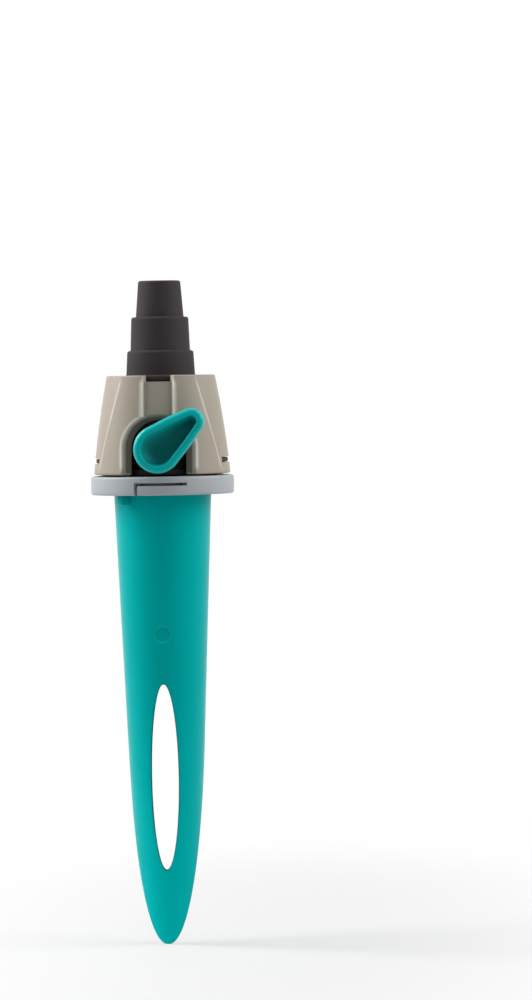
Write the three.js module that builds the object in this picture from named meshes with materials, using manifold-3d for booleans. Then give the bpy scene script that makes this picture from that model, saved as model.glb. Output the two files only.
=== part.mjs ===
// Drip plant waterer: a hollow spike, a soil ring that locks on it with a bayonet, and a head that holds
// a rubber bottle adapter and a turning drip tap.
// Millimetres. Z is up, the tap faces -Y, and the origin is on the axis at the soil line.
// An azimuth is an angle about Z in degrees from the front, positive towards +X.
import * as THREE from 'three';
import { mergeVertices } from 'three/addons/utils/BufferGeometryUtils.js';
import Module from 'manifold-3d';

const wasm = await Module();
wasm.setup();

// Clearances
const SEAT_GAP = 0.3; // between pieces that rest on each other
const TURN_GAP = 0.3; // radial play of the bayonet and of the tap spindle
const SEAL_GAP = 0.15; // play of an O-ring at its fitted size

// Spike
const SPIKE_LENGTH = 164; // below the soil line
const SPIKE_TOP_RADIUS = 17.8;
const SPIKE_TAPER = 0.0415; // radius lost for each millimetre of depth
const SPIKE_NOSE = 71; // length of the rounded nose
const SPIKE_WALL = 2;
const SPIKE_LEAN = 4.6; // how far the front wall has drawn in at the tip
const SCOOP_TIP_DEPTH = 1.2; // thickness of the tip
const SCOOP_SLOPE = 0.2; // depth gained for each millimetre above the tip
const SCOOP_BEND = 100; // height above the tip where the cut starts to bend to the back
const SCOOP_CURL = 0.00175;
const SLOT_BOTTOM = 27.3; // above the tip
const SLOT_LENGTH = 67.7;
const SLOT_WIDTH = 9.7;
const DIMPLE_HEIGHT = 113.3; // above the tip
const DIMPLE_RADIUS = 3.5;
const DIMPLE_DEPTH = 0.6;

// Bayonet between spike and ring
const LUG_COUNT = 3;
const LUG_AZIMUTH = 60; // of the first lug
const LUG_SPAN = 22; // degrees
const LUG_REACH = 1.8;
const LUG_HEIGHT = 1.8;
const LOCK_TURN = 38; // degrees between locked and free
const LOCK_SLACK = 0.6; // degrees left at each stop
const LEDGE_HEIGHT = 2.7;
const TAB_AZIMUTH = -42;
const TAB_SPAN = 7; // degrees
const TAB_REACH = 4.4;
const TAB_HEIGHT = 3.2;

// Soil ring
const RING_HEIGHT = 6.8;
const RING_WALL = 2;
const RING_FLOOR = 2.4;
const RING_LIP = 0.4; // ring radius beyond the cover's panels
const RING_EDGE = 0.7; // chamfer
const COLLAR_WALL = 1.2;
const TONGUE_FROM = -18; // azimuths of the click tongue
const TONGUE_TO = 23;
const TONGUE_HEIGHT = 3.5;
const TONGUE_SLIT = 1;
const HOOK_AZIMUTH = 90; // on both sides
const HOOK_SPAN = 44; // degrees
const HOOK_WALL = 1.3;
const HOOK_REACH = 2;
const HOOK_PLAY = 0.9; // between the hooks and the cover's wall
const HOOK_HEIGHT = 5; // middle of the hook's barb above the bottom of the cover's wall
const CLIP_WIDTH = 25;
const CLIP_DROP = 15;
const CLIP_ROUND = 8; // height of the rounded lower end
const CLIP_WALL = 2;

// Head cover
const SHADOW_GAP = 0.6; // open line between the ring and the cover
const COVER_HEIGHT = 36.1;
const COVER_TOP_RADIUS = 19.8;
const COVER_BULGE = 0.45;
const COVER_WALL = 2;
const COVER_DECK = 2.2;
const PANEL_RAISE_BOTTOM = 0.8;
const PANEL_RAISE_TOP = 1.5;
const PANEL_AZIMUTH_BOTTOM = 64; // outer edge of a raised panel
const PANEL_AZIMUTH_TOP = 41;
const PANEL_EDGE = 0.6;
const CHANNEL_WIDTH = 9.8; // between the raised panels above the tap
const POCKET_RADIUS = 12.4; // edge of the panels round the tap
const KEYHOLE_RADIUS = 10.3; // opening in the wall round the tap
const WINDOW_HEIGHT = 2;

// Valve body
const TAP_RISE = 9.4; // tap axis above the bottom of the cover
const BARREL_BORE = 4.6;
const BARREL_WALL = 2.6;
const BARREL_FRONT = 24.2; // front face ahead of the axis
const BARREL_BACK = 14;
const BASE_THICKNESS = 2.2;
const COLUMN_WALL = 1.8;
const INLET_RADIUS = 2.4;
const OUTLET_RADIUS = 1.6;
const SHIELD_RADIUS = 18;
const SHIELD_WALL = 1.6;
const SHIELD_SPAN = 104; // degrees

// Inlet spigot, its seal and the strainer
const SPIGOT_BORE = 3.4;
const SPIGOT_RADIUS = 5.9;
const SPIGOT_INSERT = 7.9; // length inside the valve body
const SPIGOT_NECK = 5.2;
const SPIGOT_NECK_LENGTH = 18.2;
const SPIGOT_BARB = 0.25;
const SPIGOT_COLLAR_RADIUS = 8.6;
const SPIGOT_COLLAR = 1.7;
const SEAL_GROOVE = 1; // depth of every O-ring groove
const SEAL_GROOVE_WIDTH = 2;
const STRAINER_THICKNESS = 1.2;
const STRAINER_HOLE = 0.9;
const STRAINER_HOLES = 6; // round the middle one

// Bottle adapter: base flange and three tapered steps, each with its height and its two radii
const ADAPTER_BASE_RADIUS = 17.8;
const ADAPTER_BASE = 2;
const WIDE_STEP_HEIGHT = 9;
const WIDE_STEP_BOTTOM = 12.6;
const WIDE_STEP_TOP = 12.1;
const BOTTLE_STEP_HEIGHT = 12.3;
const BOTTLE_STEP_BOTTOM = 10.9;
const BOTTLE_STEP_TOP = 10.45;
const NARROW_STEP_HEIGHT = 13.3;
const NARROW_STEP_BOTTOM = 8.75;
const NARROW_STEP_TOP = 7.7;
const ADAPTER_EDGE = 0.7; // rounding of each step
const ADAPTER_MOUTH = 5;
const ADAPTER_GRIP = 0.4; // rubber to spigot neck

// Drip nozzle
const NOZZLE_SHANK = 3;
const NOZZLE_SHANK_LENGTH = 7;
const NOZZLE_FLANGE = 4.6;
const NOZZLE_FLANGE_THICKNESS = 1.4;
const NOZZLE_TIP_LENGTH = 7.4;
const NOZZLE_TIP_RADIUS = 1.4;
const NOZZLE_BORE = 0.8;
const BOSS_WALL = 2.2;
const BOSS_DROP = 5;

// Tap
const LEVER_REST = 39; // degrees above +X, as photographed
const KNOB_ROUND = 8.7;
const KNOB_TIP = 4.8;
const KNOB_REACH = 15.8; // between the centres of the two round ends
const KNOB_CUP = 5.4;
const KNOB_EDGE = 0.7;
const KNOB_RIM = 3.3;
const DISH_DEPTH = 3.8;
const DISH_SLOPE = 0.9; // how far the floor lies inside the edge of the dish
const HUB_RADIUS = 6.4;
const HUB_LENGTH = 1.4;
const SQUARE = 5.2;
const SQUARE_LENGTH = 1.6;
const SEAL_FROM_END = 5; // O-rings inside each end of the barrel
const METER_WIDTH = 2;
const METER_SHIFT = 0.8; // how far the metering groove lies off the axis
const METER_CORE = 3.4;
const WASHER_THICKNESS = 0.8;
const WASHER_RADIUS = 6.6;
const CLIP_RING_THICKNESS = 0.9;
const CLIP_RING_RADIUS = 6.4;
const CLIP_RING_GAP = 70; // degrees
const CLIP_RING_STEP = 15; // degrees between its points
const CLIP_GROOVE = 1.1;
const SPINDLE_TAIL = 1.2;

// Sizes that follow from those above
const DEG = Math.PI / 180;
const coverBottom = RING_HEIGHT + SHADOW_GAP;
const coverTop = coverBottom + COVER_HEIGHT;
const adapterBottom = coverTop - ADAPTER_BASE;
const deckTop = adapterBottom - SEAT_GAP;
const deckBottom = deckTop - COVER_DECK;
const tapZ = coverBottom + TAP_RISE;
const ringBore = SPIKE_TOP_RADIUS + TURN_GAP;
const lugRadius = SPIKE_TOP_RADIUS + LUG_REACH;
const grooveRadius = lugRadius + TURN_GAP;
const collarRadius = grooveRadius + COLLAR_WALL;
const hookInner = collarRadius - SEAT_GAP;
const hookOuter = hookInner + HOOK_WALL;
const coverBottomRadius = hookOuter + HOOK_PLAY + COVER_WALL;
const ringRadius = coverBottomRadius + PANEL_RAISE_BOTTOM + RING_LIP;
const collarTop = RING_HEIGHT - SEAT_GAP;
const barbZ = coverBottom + HOOK_HEIGHT;
const baseBottom = RING_HEIGHT + SEAT_GAP;
const baseTop = baseBottom + BASE_THICKNESS;
const baseRadius = hookInner - SEAT_GAP;
const barrelRadius = BARREL_BORE + BARREL_WALL;
const socketRadius = SPIGOT_RADIUS + SEAT_GAP;
const columnRadius = socketRadius + COLUMN_WALL;
const columnTop = deckBottom - SEAT_GAP;
const spigotBottom = columnTop - SPIGOT_INSERT;
const socketFloor = spigotBottom - STRAINER_THICKNESS - 2 * SEAT_GAP;
const nozzleSocket = NOZZLE_SHANK + SEAT_GAP;
const bossBottom = baseBottom - BOSS_DROP;
const spindleRadius = BARREL_BORE - TURN_GAP;
const washerFront = BARREL_FRONT + SEAT_GAP + WASHER_THICKNESS;
const hubBack = washerFront + SEAT_GAP;
const cupBack = hubBack + HUB_LENGTH;
const knobFace = cupBack + KNOB_CUP;
const squareBack = hubBack + SEAT_GAP;

// A closed geometry as a solid that others can be added to or cut from.
function solid(geometry) {
  const bare = geometry.index ? geometry.toNonIndexed() : geometry.clone();
  bare.deleteAttribute('normal');
  bare.deleteAttribute('uv');
  const welded = mergeVertices(bare, 1e-4);
  const ids = welded.index.array;
  const corners = [];
  for (let i = 0; i < ids.length; i += 3) {
    const [a, b, c] = ids.slice(i, i + 3);
    if (a !== b && b !== c && c !== a) corners.push(a, b, c);
  }
  const build = (triVerts) =>
    new wasm.Manifold(
      new wasm.Mesh({
        numProp: 3,
        vertProperties: welded.attributes.position.array,
        triVerts: new Uint32Array(triVerts),
      }),
    );
  const made = build(corners);
  return made.volume() < 0 ? build(corners.reverse()) : made;
}

// Solid of revolution about Z from [radius, z] points.
function turned(profile, sides) {
  const points = profile.map(([radius, z]) => new THREE.Vector2(radius, z));
  return solid(new THREE.LatheGeometry(points, sides).rotateX(Math.PI / 2));
}

// Solid of revolution about the tap axis from [radius, distance ahead of the axis] points.
function turnedOnTap(profile, sides) {
  const points = profile.map(([radius, ahead]) => new THREE.Vector2(radius, -ahead));
  return solid(new THREE.LatheGeometry(points, sides).translate(0, 0, tapZ));
}

function rod(radius, bottom, top, sides = 24) {
  const cylinder = new THREE.CylinderGeometry(radius, radius, top - bottom, sides);
  return solid(cylinder.rotateX(Math.PI / 2).translate(0, 0, (bottom + top) / 2));
}

function tapRod(radius, back, ahead, sides = 24) {
  const cylinder = new THREE.CylinderGeometry(radius, radius, ahead - back, sides);
  return solid(cylinder.translate(0, -(ahead + back) / 2, tapZ));
}

// A flat shape in X and Z carried along the tap axis from one distance ahead of the axis to another.
function carriedForward(shape, back, ahead) {
  const geometry = new THREE.ExtrudeGeometry(shape, {
    depth: ahead - back,
    bevelEnabled: false,
    curveSegments: 14,
  });
  return solid(geometry.rotateX(Math.PI / 2).translate(0, -back, 0));
}

function onCircle(radius, azimuth) {
  return new THREE.Vector2(radius * Math.sin(azimuth * DEG), -radius * Math.cos(azimuth * DEG));
}

function arc(radius, from, to, step = 6) {
  const count = Math.max(1, Math.ceil(Math.abs(to - from) / step));
  return Array.from({ length: count + 1 }, (_, i) =>
    onCircle(radius, from + ((to - from) * i) / count),
  );
}

// Part of a ring between two radii, two azimuths and two heights.
function sector(inner, outer, from, to, bottom, top) {
  const shape = new THREE.Shape([...arc(outer, from, to), ...arc(inner, to, from)]);
  const geometry = new THREE.ExtrudeGeometry(shape, { depth: top - bottom, bevelEnabled: false });
  return solid(geometry.translate(0, 0, bottom));
}

// Solid through closed outlines of equal point counts, capped at both ends. Each outline runs
// anticlockwise seen from the end that the rows lead to, and flat gives its plane coordinates.
function loft(rows, flat) {
  const count = rows[0].length;
  const last = (rows.length - 1) * count;
  const faces = [];
  for (let start = 0; start < last; start += count) {
    for (let i = 0; i < count; i++) {
      const a = start + i;
      const b = start + ((i + 1) % count);
      faces.push(a, b, b + count, a, b + count, a + count);
    }
  }
  for (const [i, j, k] of THREE.ShapeUtils.triangulateShape(rows[0].map(flat), [])) {
    faces.push(k, j, i);
  }
  for (const [i, j, k] of THREE.ShapeUtils.triangulateShape(rows.at(-1).map(flat), [])) {
    faces.push(last + i, last + j, last + k);
  }
  const geometry = new THREE.BufferGeometry().setFromPoints(rows.flat());
  return solid(geometry.setIndex(faces));
}

const seenFromAbove = (p) => new THREE.Vector2(p.x, p.y);
const seenFromFront = (p) => new THREE.Vector2(p.x, p.z);

// Horizontal section of the spike at a height above its tip: a round wall of the given radius whose most
// forward line is at y = front, kept only as far back as depth behind that line.
function spikeSection(height) {
  if (height >= SPIKE_LENGTH) {
    return { radius: SPIKE_TOP_RADIUS, front: -SPIKE_TOP_RADIUS, depth: 2 * SPIKE_TOP_RADIUS };
  }
  const nose = Math.min(height / SPIKE_NOSE, 1);
  const straight = SPIKE_TOP_RADIUS - SPIKE_TAPER * (SPIKE_LENGTH - height);
  const half = straight * (1 - (1 - nose) ** 2.5) ** 0.4;
  const bend = Math.max(0, height - SCOOP_BEND);
  const depth = SCOOP_TIP_DEPTH + SCOOP_SLOPE * height + SCOOP_CURL * bend ** 2;
  const radius = depth < half ? (half ** 2 + depth ** 2) / (2 * depth) : half;
  const front = SPIKE_LEAN * (1 - height / SPIKE_LENGTH) ** 2 - SPIKE_TOP_RADIUS;
  return { radius, front, depth: Math.min(depth, 2 * radius) };
}

// Height at which the scoop's cut leaves the back of the spike.
function scoopTop() {
  let low = SPIKE_NOSE;
  let high = SPIKE_LENGTH;
  for (let i = 0; i < 40; i++) {
    const middle = (low + high) / 2;
    const { radius, depth } = spikeSection(middle);
    if (depth < 2 * radius) low = middle;
    else high = middle;
  }
  return high;
}

// Half of the spike's wall at one height, on one side of the middle plane, as a closed outline.
function spikeOutline(height, side) {
  const steps = 11;
  const { radius, front, depth } = spikeSection(height);
  const inner = Math.max(0, radius - SPIKE_WALL);
  const innerDepth = Math.min(Math.max(0, depth - SPIKE_WALL), 2 * inner);
  const openTo = (reach, r) => (r > 0 ? Math.acos(Math.max(-1, 1 - reach / r)) : 0);
  const outerEnd = openTo(depth, radius);
  const innerEnd = openTo(innerDepth, inner);
  const innerFront = front + Math.min(SPIKE_WALL, depth);
  const closed = innerDepth >= 2 * inner;
  const points = [];
  for (let i = 0; i <= steps; i++) {
    const turn = (outerEnd * i) / steps;
    points.push([radius * Math.sin(turn), front + radius * (1 - Math.cos(turn))]);
  }
  points.push([closed ? 0 : inner * Math.sin(innerEnd), front + depth]);
  for (let i = steps; i >= 0; i--) {
    const turn = (innerEnd * i) / steps;
    points.push([inner * Math.sin(turn), innerFront + inner * (1 - Math.cos(turn))]);
  }
  const snapped = points.map(([x, y]) => {
    const across = Math.abs(x) < 1e-6 ? 0 : side * x;
    return new THREE.Vector3(across, y, height - SPIKE_LENGTH);
  });
  return side > 0 ? snapped : snapped.reverse();
}

function spike() {
  const top = scoopTop();
  const upTo = (count, height) => Array.from({ length: count }, (_, i) => height((i + 1) / count));
  const heights = [
    0,
    ...upTo(10, (t) => SPIKE_NOSE * t ** 2),
    ...upTo(9, (t) => top - (top - SPIKE_NOSE) * (1 - t) ** 2),
    (top + SPIKE_LENGTH) / 2,
    SPIKE_LENGTH,
    SPIKE_LENGTH + collarTop,
  ];
  const half = (side) => loft(heights.map((height) => spikeOutline(height, side)), seenFromAbove);

  const slot = new THREE.Shape();
  const slotZ = SLOT_BOTTOM + SLOT_LENGTH / 2 - SPIKE_LENGTH;
  slot.absellipse(0, slotZ, SLOT_WIDTH / 2, SLOT_LENGTH / 2, 0, 2 * Math.PI);
  const { front } = spikeSection(DIMPLE_HEIGHT);
  const dimple = new THREE.Shape();
  dimple.absarc(0, DIMPLE_HEIGHT - SPIKE_LENGTH, DIMPLE_RADIUS, 0, 2 * Math.PI);

  let made = half(1).add(half(-1));
  made = made.subtract(carriedForward(slot, SPIKE_TOP_RADIUS / 3, 2 * SPIKE_TOP_RADIUS));
  made = made.subtract(carriedForward(dimple, -front - DIMPLE_DEPTH, 2 * SPIKE_TOP_RADIUS));

  const rooted = SPIKE_TOP_RADIUS - SPIKE_WALL / 2;
  const lugBottom = LEDGE_HEIGHT + SEAT_GAP;
  for (let i = 0; i < LUG_COUNT; i++) {
    const middle = LUG_AZIMUTH + (360 / LUG_COUNT) * i;
    const from = middle - LUG_SPAN / 2;
    made = made.add(
      sector(rooted, lugRadius, from, from + LUG_SPAN, lugBottom, lugBottom + LUG_HEIGHT),
    );
  }
  const tabFrom = TAB_AZIMUTH - TAB_SPAN / 2;
  const tabTop = -SEAT_GAP;
  return made.add(
    sector(
      rooted,
      SPIKE_TOP_RADIUS + TAB_REACH,
      tabFrom,
      tabFrom + TAB_SPAN,
      tabTop - TAB_HEIGHT,
      tabTop,
    ),
  );
}

// Curved plate that hangs at the back of the ring, over the rim of a pot.
function potClip() {
  const half = CLIP_WIDTH / 2;
  const straight = CLIP_ROUND - CLIP_DROP;
  const outline = new THREE.Shape();
  outline.moveTo(-half, RING_FLOOR / 2);
  outline.lineTo(-half, straight);
  outline.absellipse(0, straight, half, CLIP_ROUND, Math.PI, 2 * Math.PI);
  outline.lineTo(half, RING_FLOOR / 2);
  const outer = ringRadius - RING_EDGE;
  const inner = outer - CLIP_WALL;
  const tube = turned(
    [
      [inner, -CLIP_DROP - 1],
      [outer, -CLIP_DROP - 1],
      [outer, RING_HEIGHT],
      [inner, RING_HEIGHT],
      [inner, -CLIP_DROP - 1],
    ],
    48,
  );
  return tube.intersect(carriedForward(outline, -2 * ringRadius, -inner / 2));
}

function soilRing() {
  const wallInner = ringRadius - RING_WALL;
  let made = turned(
    [
      [ringBore, 0],
      [ringRadius - RING_EDGE, 0],
      [ringRadius, RING_EDGE],
      [ringRadius, RING_HEIGHT - RING_EDGE],
      [ringRadius - RING_EDGE, RING_HEIGHT],
      [wallInner, RING_HEIGHT],
      [wallInner, RING_FLOOR],
      [collarRadius, RING_FLOOR],
      [collarRadius, RING_HEIGHT],
      [ringBore, RING_HEIGHT],
      [ringBore, 0],
    ],
    48,
  );
  for (let i = 0; i < LUG_COUNT; i++) {
    const locked = LUG_AZIMUTH + (360 / LUG_COUNT) * i;
    const from = locked - LUG_SPAN / 2 - LOCK_SLACK;
    const to = locked + LUG_SPAN / 2 + LOCK_TURN + LOCK_SLACK;
    const entry = to - LUG_SPAN - 2 * LOCK_SLACK;
    const inside = ringBore - 1;
    made = made.subtract(sector(inside, grooveRadius, from, to, LEDGE_HEIGHT, RING_HEIGHT + 1));
    made = made.subtract(sector(inside, grooveRadius, entry, to, -1, LEDGE_HEIGHT + 0.5));
  }
  const slitInner = wallInner - TONGUE_SLIT;
  const slitTop = TONGUE_HEIGHT + TONGUE_SLIT;
  const beyond = ringRadius + 1;
  const slitEnd = TONGUE_FROM - TONGUE_SLIT / ringRadius / DEG;
  made = made.subtract(
    sector(slitInner, beyond, TONGUE_FROM, TONGUE_TO, TONGUE_HEIGHT, slitTop),
  );
  made = made.subtract(sector(slitInner, beyond, slitEnd, TONGUE_FROM, -1, slitTop));
  made = made.subtract(sector(slitInner, wallInner, slitEnd, TONGUE_TO, -1, RING_FLOOR + 1));
  for (const middle of [-HOOK_AZIMUTH, HOOK_AZIMUTH]) {
    const from = middle - HOOK_SPAN / 2;
    const to = middle + HOOK_SPAN / 2;
    const barb = WINDOW_HEIGHT / 2 - SEAT_GAP;
    made = made.add(sector(hookInner, hookOuter, from, to, RING_FLOOR / 2, barbZ + barb));
    made = made.add(
      sector(hookInner, hookOuter + HOOK_REACH, from, to, barbZ - barb, barbZ + barb),
    );
  }
  return made.add(potClip());
}

// Outer radius of the cover between its raised panels.
function coverRadius(z) {
  const t = (z - coverBottom) / COVER_HEIGHT;
  return coverBottomRadius + (COVER_TOP_RADIUS - coverBottomRadius) * t + 4 * COVER_BULGE * t * (1 - t);
}

function coverShell() {
  const steps = 6;
  const outer = [];
  const inner = [];
  for (let i = 0; i <= steps; i++) {
    const up = (COVER_HEIGHT - PANEL_EDGE) * (i / steps);
    outer.push([coverRadius(coverBottom + up), coverBottom + up]);
    const inside = ((deckBottom - coverBottom) * i) / steps + coverBottom;
    inner.push([coverRadius(inside) - COVER_WALL, inside]);
  }
  return turned(
    [
      ...outer,
      [COVER_TOP_RADIUS - PANEL_EDGE, coverTop],
      [ADAPTER_BASE_RADIUS + SEAT_GAP, coverTop],
      [ADAPTER_BASE_RADIUS + SEAT_GAP, deckTop],
      [socketRadius, deckTop],
      [socketRadius, deckBottom],
      ...inner.reverse(),
      outer[0],
    ],
    48,
  );
}

// Raised panel on one side of the tap: narrow at the top, wide at the bottom, with bevelled edges.
function coverPanel(side) {
  const rows = [];
  const steps = 5;
  for (let i = 0; i <= steps; i++) {
    const t = i / steps;
    const z = coverBottom + (coverTop - coverBottom) * t;
    const raise = PANEL_RAISE_BOTTOM + (PANEL_RAISE_TOP - PANEL_RAISE_BOTTOM) * t;
    const outer = coverRadius(z) + raise;
    const inner = coverRadius(z) - COVER_WALL / 2;
    const edge = PANEL_EDGE / outer / DEG;
    const from = Math.asin(CHANNEL_WIDTH / 2 / outer) / DEG;
    const to = PANEL_AZIMUTH_BOTTOM + (PANEL_AZIMUTH_TOP - PANEL_AZIMUTH_BOTTOM) * t;
    const face = [0, 1, 2, 3, 4].map((n) =>
      onCircle(outer, from + edge + ((to - from - 2 * edge) * n) / 4),
    );
    const back = [4, 3, 2, 1, 0].map((n) => onCircle(inner, from + ((to - from) * n) / 4));
    const sides = [onCircle(outer - PANEL_EDGE, from), onCircle(outer - PANEL_EDGE, to)];
    const outline = [sides[0], ...face, sides[1], ...back];
    const row = outline.map((p) => new THREE.Vector3(side * p.x, p.y, z));
    rows.push(side > 0 ? row : row.reverse());
  }
  return loft(rows, seenFromAbove);
}

// Arch round the tap, open at the bottom edge of the cover, as a cutter for the front wall.
function keyhole(radius) {
  const shape = new THREE.Shape();
  shape.moveTo(-radius, coverBottom - 1);
  shape.lineTo(radius, coverBottom - 1);
  shape.lineTo(radius, tapZ);
  shape.absarc(0, tapZ, radius, 0, Math.PI);
  return carriedForward(shape, coverBottomRadius / 2, 2 * coverBottomRadius);
}

function headCover() {
  const panels = coverPanel(1).add(coverPanel(-1)).subtract(keyhole(POCKET_RADIUS));
  const notch = new THREE.BoxGeometry(CHANNEL_WIDTH, 2 * COVER_TOP_RADIUS, 2 * (coverTop - deckTop));
  let made = coverShell()
    .add(panels)
    .subtract(keyhole(KEYHOLE_RADIUS))
    .subtract(solid(notch.translate(0, -COVER_TOP_RADIUS, coverTop)));
  for (const middle of [-HOOK_AZIMUTH, HOOK_AZIMUTH]) {
    const half = HOOK_SPAN / 2 + 2;
    made = made.subtract(
      sector(
        hookOuter - 1,
        ringRadius + 1,
        middle - half,
        middle + half,
        barbZ - WINDOW_HEIGHT / 2,
        barbZ + WINDOW_HEIGHT / 2,
      ),
    );
  }
  return made;
}

function valveBody() {
  const half = SHIELD_SPAN / 2;
  const shield = sector(SHIELD_RADIUS - SHIELD_WALL, SHIELD_RADIUS, -half, half, baseBottom, columnTop);
  return rod(baseRadius, baseBottom, baseTop, 36)
    .add(rod(nozzleSocket + BOSS_WALL, bossBottom, baseTop))
    .add(rod(columnRadius, baseBottom, columnTop))
    .add(tapRod(barrelRadius, -BARREL_BACK, BARREL_FRONT))
    .add(shield)
    .subtract(rod(socketRadius, socketFloor, columnTop + 1))
    .subtract(rod(INLET_RADIUS, tapZ, socketFloor + 1, 16))
    .subtract(tapRod(BARREL_BORE, -BARREL_BACK - 1, BARREL_FRONT + 1, 32))
    .subtract(rod(OUTLET_RADIUS, bossBottom, tapZ, 16))
    .subtract(rod(nozzleSocket, bossBottom - 1, bossBottom + NOZZLE_SHANK_LENGTH + SEAT_GAP));
}

function inletSpigot() {
  const sealBottom = (spigotBottom + columnTop - SEAL_GROOVE_WIDTH) / 2;
  const sealTop = sealBottom + SEAL_GROOVE_WIDTH;
  const neckBottom = adapterBottom + SPIGOT_COLLAR;
  const neckTop = neckBottom + SPIGOT_NECK_LENGTH;
  const barb = SPIGOT_NECK + SPIGOT_BARB;
  const third = SPIGOT_NECK_LENGTH / 3;
  return turned(
    [
      [SPIGOT_BORE, spigotBottom],
      [SPIGOT_RADIUS, spigotBottom],
      [SPIGOT_RADIUS, sealBottom],
      [SPIGOT_RADIUS - SEAL_GROOVE, sealBottom],
      [SPIGOT_RADIUS - SEAL_GROOVE, sealTop],
      [SPIGOT_RADIUS, sealTop],
      [SPIGOT_RADIUS, adapterBottom],
      [SPIGOT_COLLAR_RADIUS, adapterBottom],
      [SPIGOT_COLLAR_RADIUS, neckBottom],
      [SPIGOT_NECK, neckBottom],
      [SPIGOT_NECK, neckBottom + third],
      [barb, neckBottom + third],
      [SPIGOT_NECK, neckBottom + 2 * third],
      [barb, neckBottom + 2 * third],
      [SPIGOT_NECK - SPIGOT_BARB, neckTop],
      [SPIGOT_BORE, neckTop],
      [SPIGOT_BORE, spigotBottom],
    ],
    24,
  );
}

// O-ring at its fitted size, between the floor of a groove and a bore.
function fittedSeal(shaft, bore) {
  const inner = shaft - SEAL_GROOVE + SEAL_GAP;
  const cord = (bore - SEAL_GAP - inner) / 2;
  return new THREE.TorusGeometry(inner + cord, cord, 6, 20);
}

function spigotSeal() {
  const middle = (spigotBottom + columnTop) / 2;
  return solid(fittedSeal(SPIGOT_RADIUS, socketRadius).translate(0, 0, middle));
}

function inletStrainer() {
  const bottom = socketFloor + SEAT_GAP;
  const top = bottom + STRAINER_THICKNESS;
  let made = rod(SPIGOT_RADIUS, bottom, top);
  const hole = (x, y) => {
    const cylinder = new THREE.CylinderGeometry(STRAINER_HOLE, STRAINER_HOLE, STRAINER_THICKNESS * 2, 8);
    return solid(cylinder.rotateX(Math.PI / 2).translate(x, y, (bottom + top) / 2));
  };
  made = made.subtract(hole(0, 0));
  for (let i = 0; i < STRAINER_HOLES; i++) {
    const { x, y } = onCircle(3 * STRAINER_HOLE, (360 / STRAINER_HOLES) * i);
    made = made.subtract(hole(x, y));
  }
  return made;
}

function bottleAdapter() {
  const profile = [
    [SPIGOT_COLLAR_RADIUS + SEAT_GAP, adapterBottom],
    [ADAPTER_BASE_RADIUS, adapterBottom],
    [ADAPTER_BASE_RADIUS, coverTop - ADAPTER_EDGE],
    [ADAPTER_BASE_RADIUS - ADAPTER_EDGE, coverTop],
  ];
  const steps = [
    { height: WIDE_STEP_HEIGHT, bottomRadius: WIDE_STEP_BOTTOM, topRadius: WIDE_STEP_TOP },
    { height: BOTTLE_STEP_HEIGHT, bottomRadius: BOTTLE_STEP_BOTTOM, topRadius: BOTTLE_STEP_TOP },
    { height: NARROW_STEP_HEIGHT, bottomRadius: NARROW_STEP_BOTTOM, topRadius: NARROW_STEP_TOP },
  ];
  let z = coverTop;
  for (const { height, bottomRadius, topRadius } of steps) {
    profile.push([bottomRadius, z]);
    z += height;
    for (const turn of [0, 90]) {
      const inset = ADAPTER_EDGE * (1 - Math.cos(turn * DEG));
      const drop = ADAPTER_EDGE * (1 - Math.sin(turn * DEG));
      profile.push([topRadius - inset, z - drop]);
    }
  }
  const collarRoom = adapterBottom + SPIGOT_COLLAR + SEAT_GAP;
  const neckRoom = collarRoom + SPIGOT_NECK_LENGTH;
  const grip = SPIGOT_NECK + ADAPTER_GRIP;
  profile.push(
    [ADAPTER_MOUTH, z],
    [ADAPTER_MOUTH, neckRoom],
    [grip, neckRoom],
    [grip, collarRoom],
    [SPIGOT_COLLAR_RADIUS + SEAT_GAP, collarRoom],
    profile[0],
  );
  return turned(profile, 32);
}

function dripNozzle() {
  const flangeTop = bossBottom - SEAT_GAP;
  const flangeBottom = flangeTop - NOZZLE_FLANGE_THICKNESS;
  const tip = flangeBottom - NOZZLE_TIP_LENGTH;
  const top = bossBottom + NOZZLE_SHANK_LENGTH;
  return turned(
    [
      [NOZZLE_BORE, tip],
      [NOZZLE_TIP_RADIUS, tip],
      [NOZZLE_SHANK, flangeBottom],
      [NOZZLE_FLANGE, flangeBottom],
      [NOZZLE_FLANGE, flangeTop],
      [NOZZLE_SHANK, flangeTop],
      [NOZZLE_SHANK, top],
      [NOZZLE_BORE, top],
      [NOZZLE_BORE, tip],
    ],
    20,
  );
}

// Drop-shaped outline round the tap axis with its point along the lever, at one distance ahead of the axis.
function dropOutline(round, tip, reach, ahead) {
  const meet = Math.acos((round - tip) / reach);
  const points = [];
  const addArc = (centre, radius, from, to, steps) => {
    for (let i = 0; i <= steps; i++) {
      const turn = from + ((to - from) * i) / steps;
      const along = centre + radius * Math.cos(turn);
      points.push(new THREE.Vector3(along, -ahead, radius * Math.sin(turn)));
    }
  };
  addArc(0, round, meet, 2 * Math.PI - meet, 16);
  addArc(reach, tip, -meet, meet, 8);
  const turn = new THREE.Matrix4().makeRotationY(-LEVER_REST * DEG);
  return points.map((p) => p.applyMatrix4(turn).add(new THREE.Vector3(0, 0, tapZ)));
}

function squareBar(side, back, ahead) {
  const box = new THREE.BoxGeometry(side, ahead - back, side).rotateY(-LEVER_REST * DEG);
  return solid(box.translate(0, -(ahead + back) / 2, tapZ));
}

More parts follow.
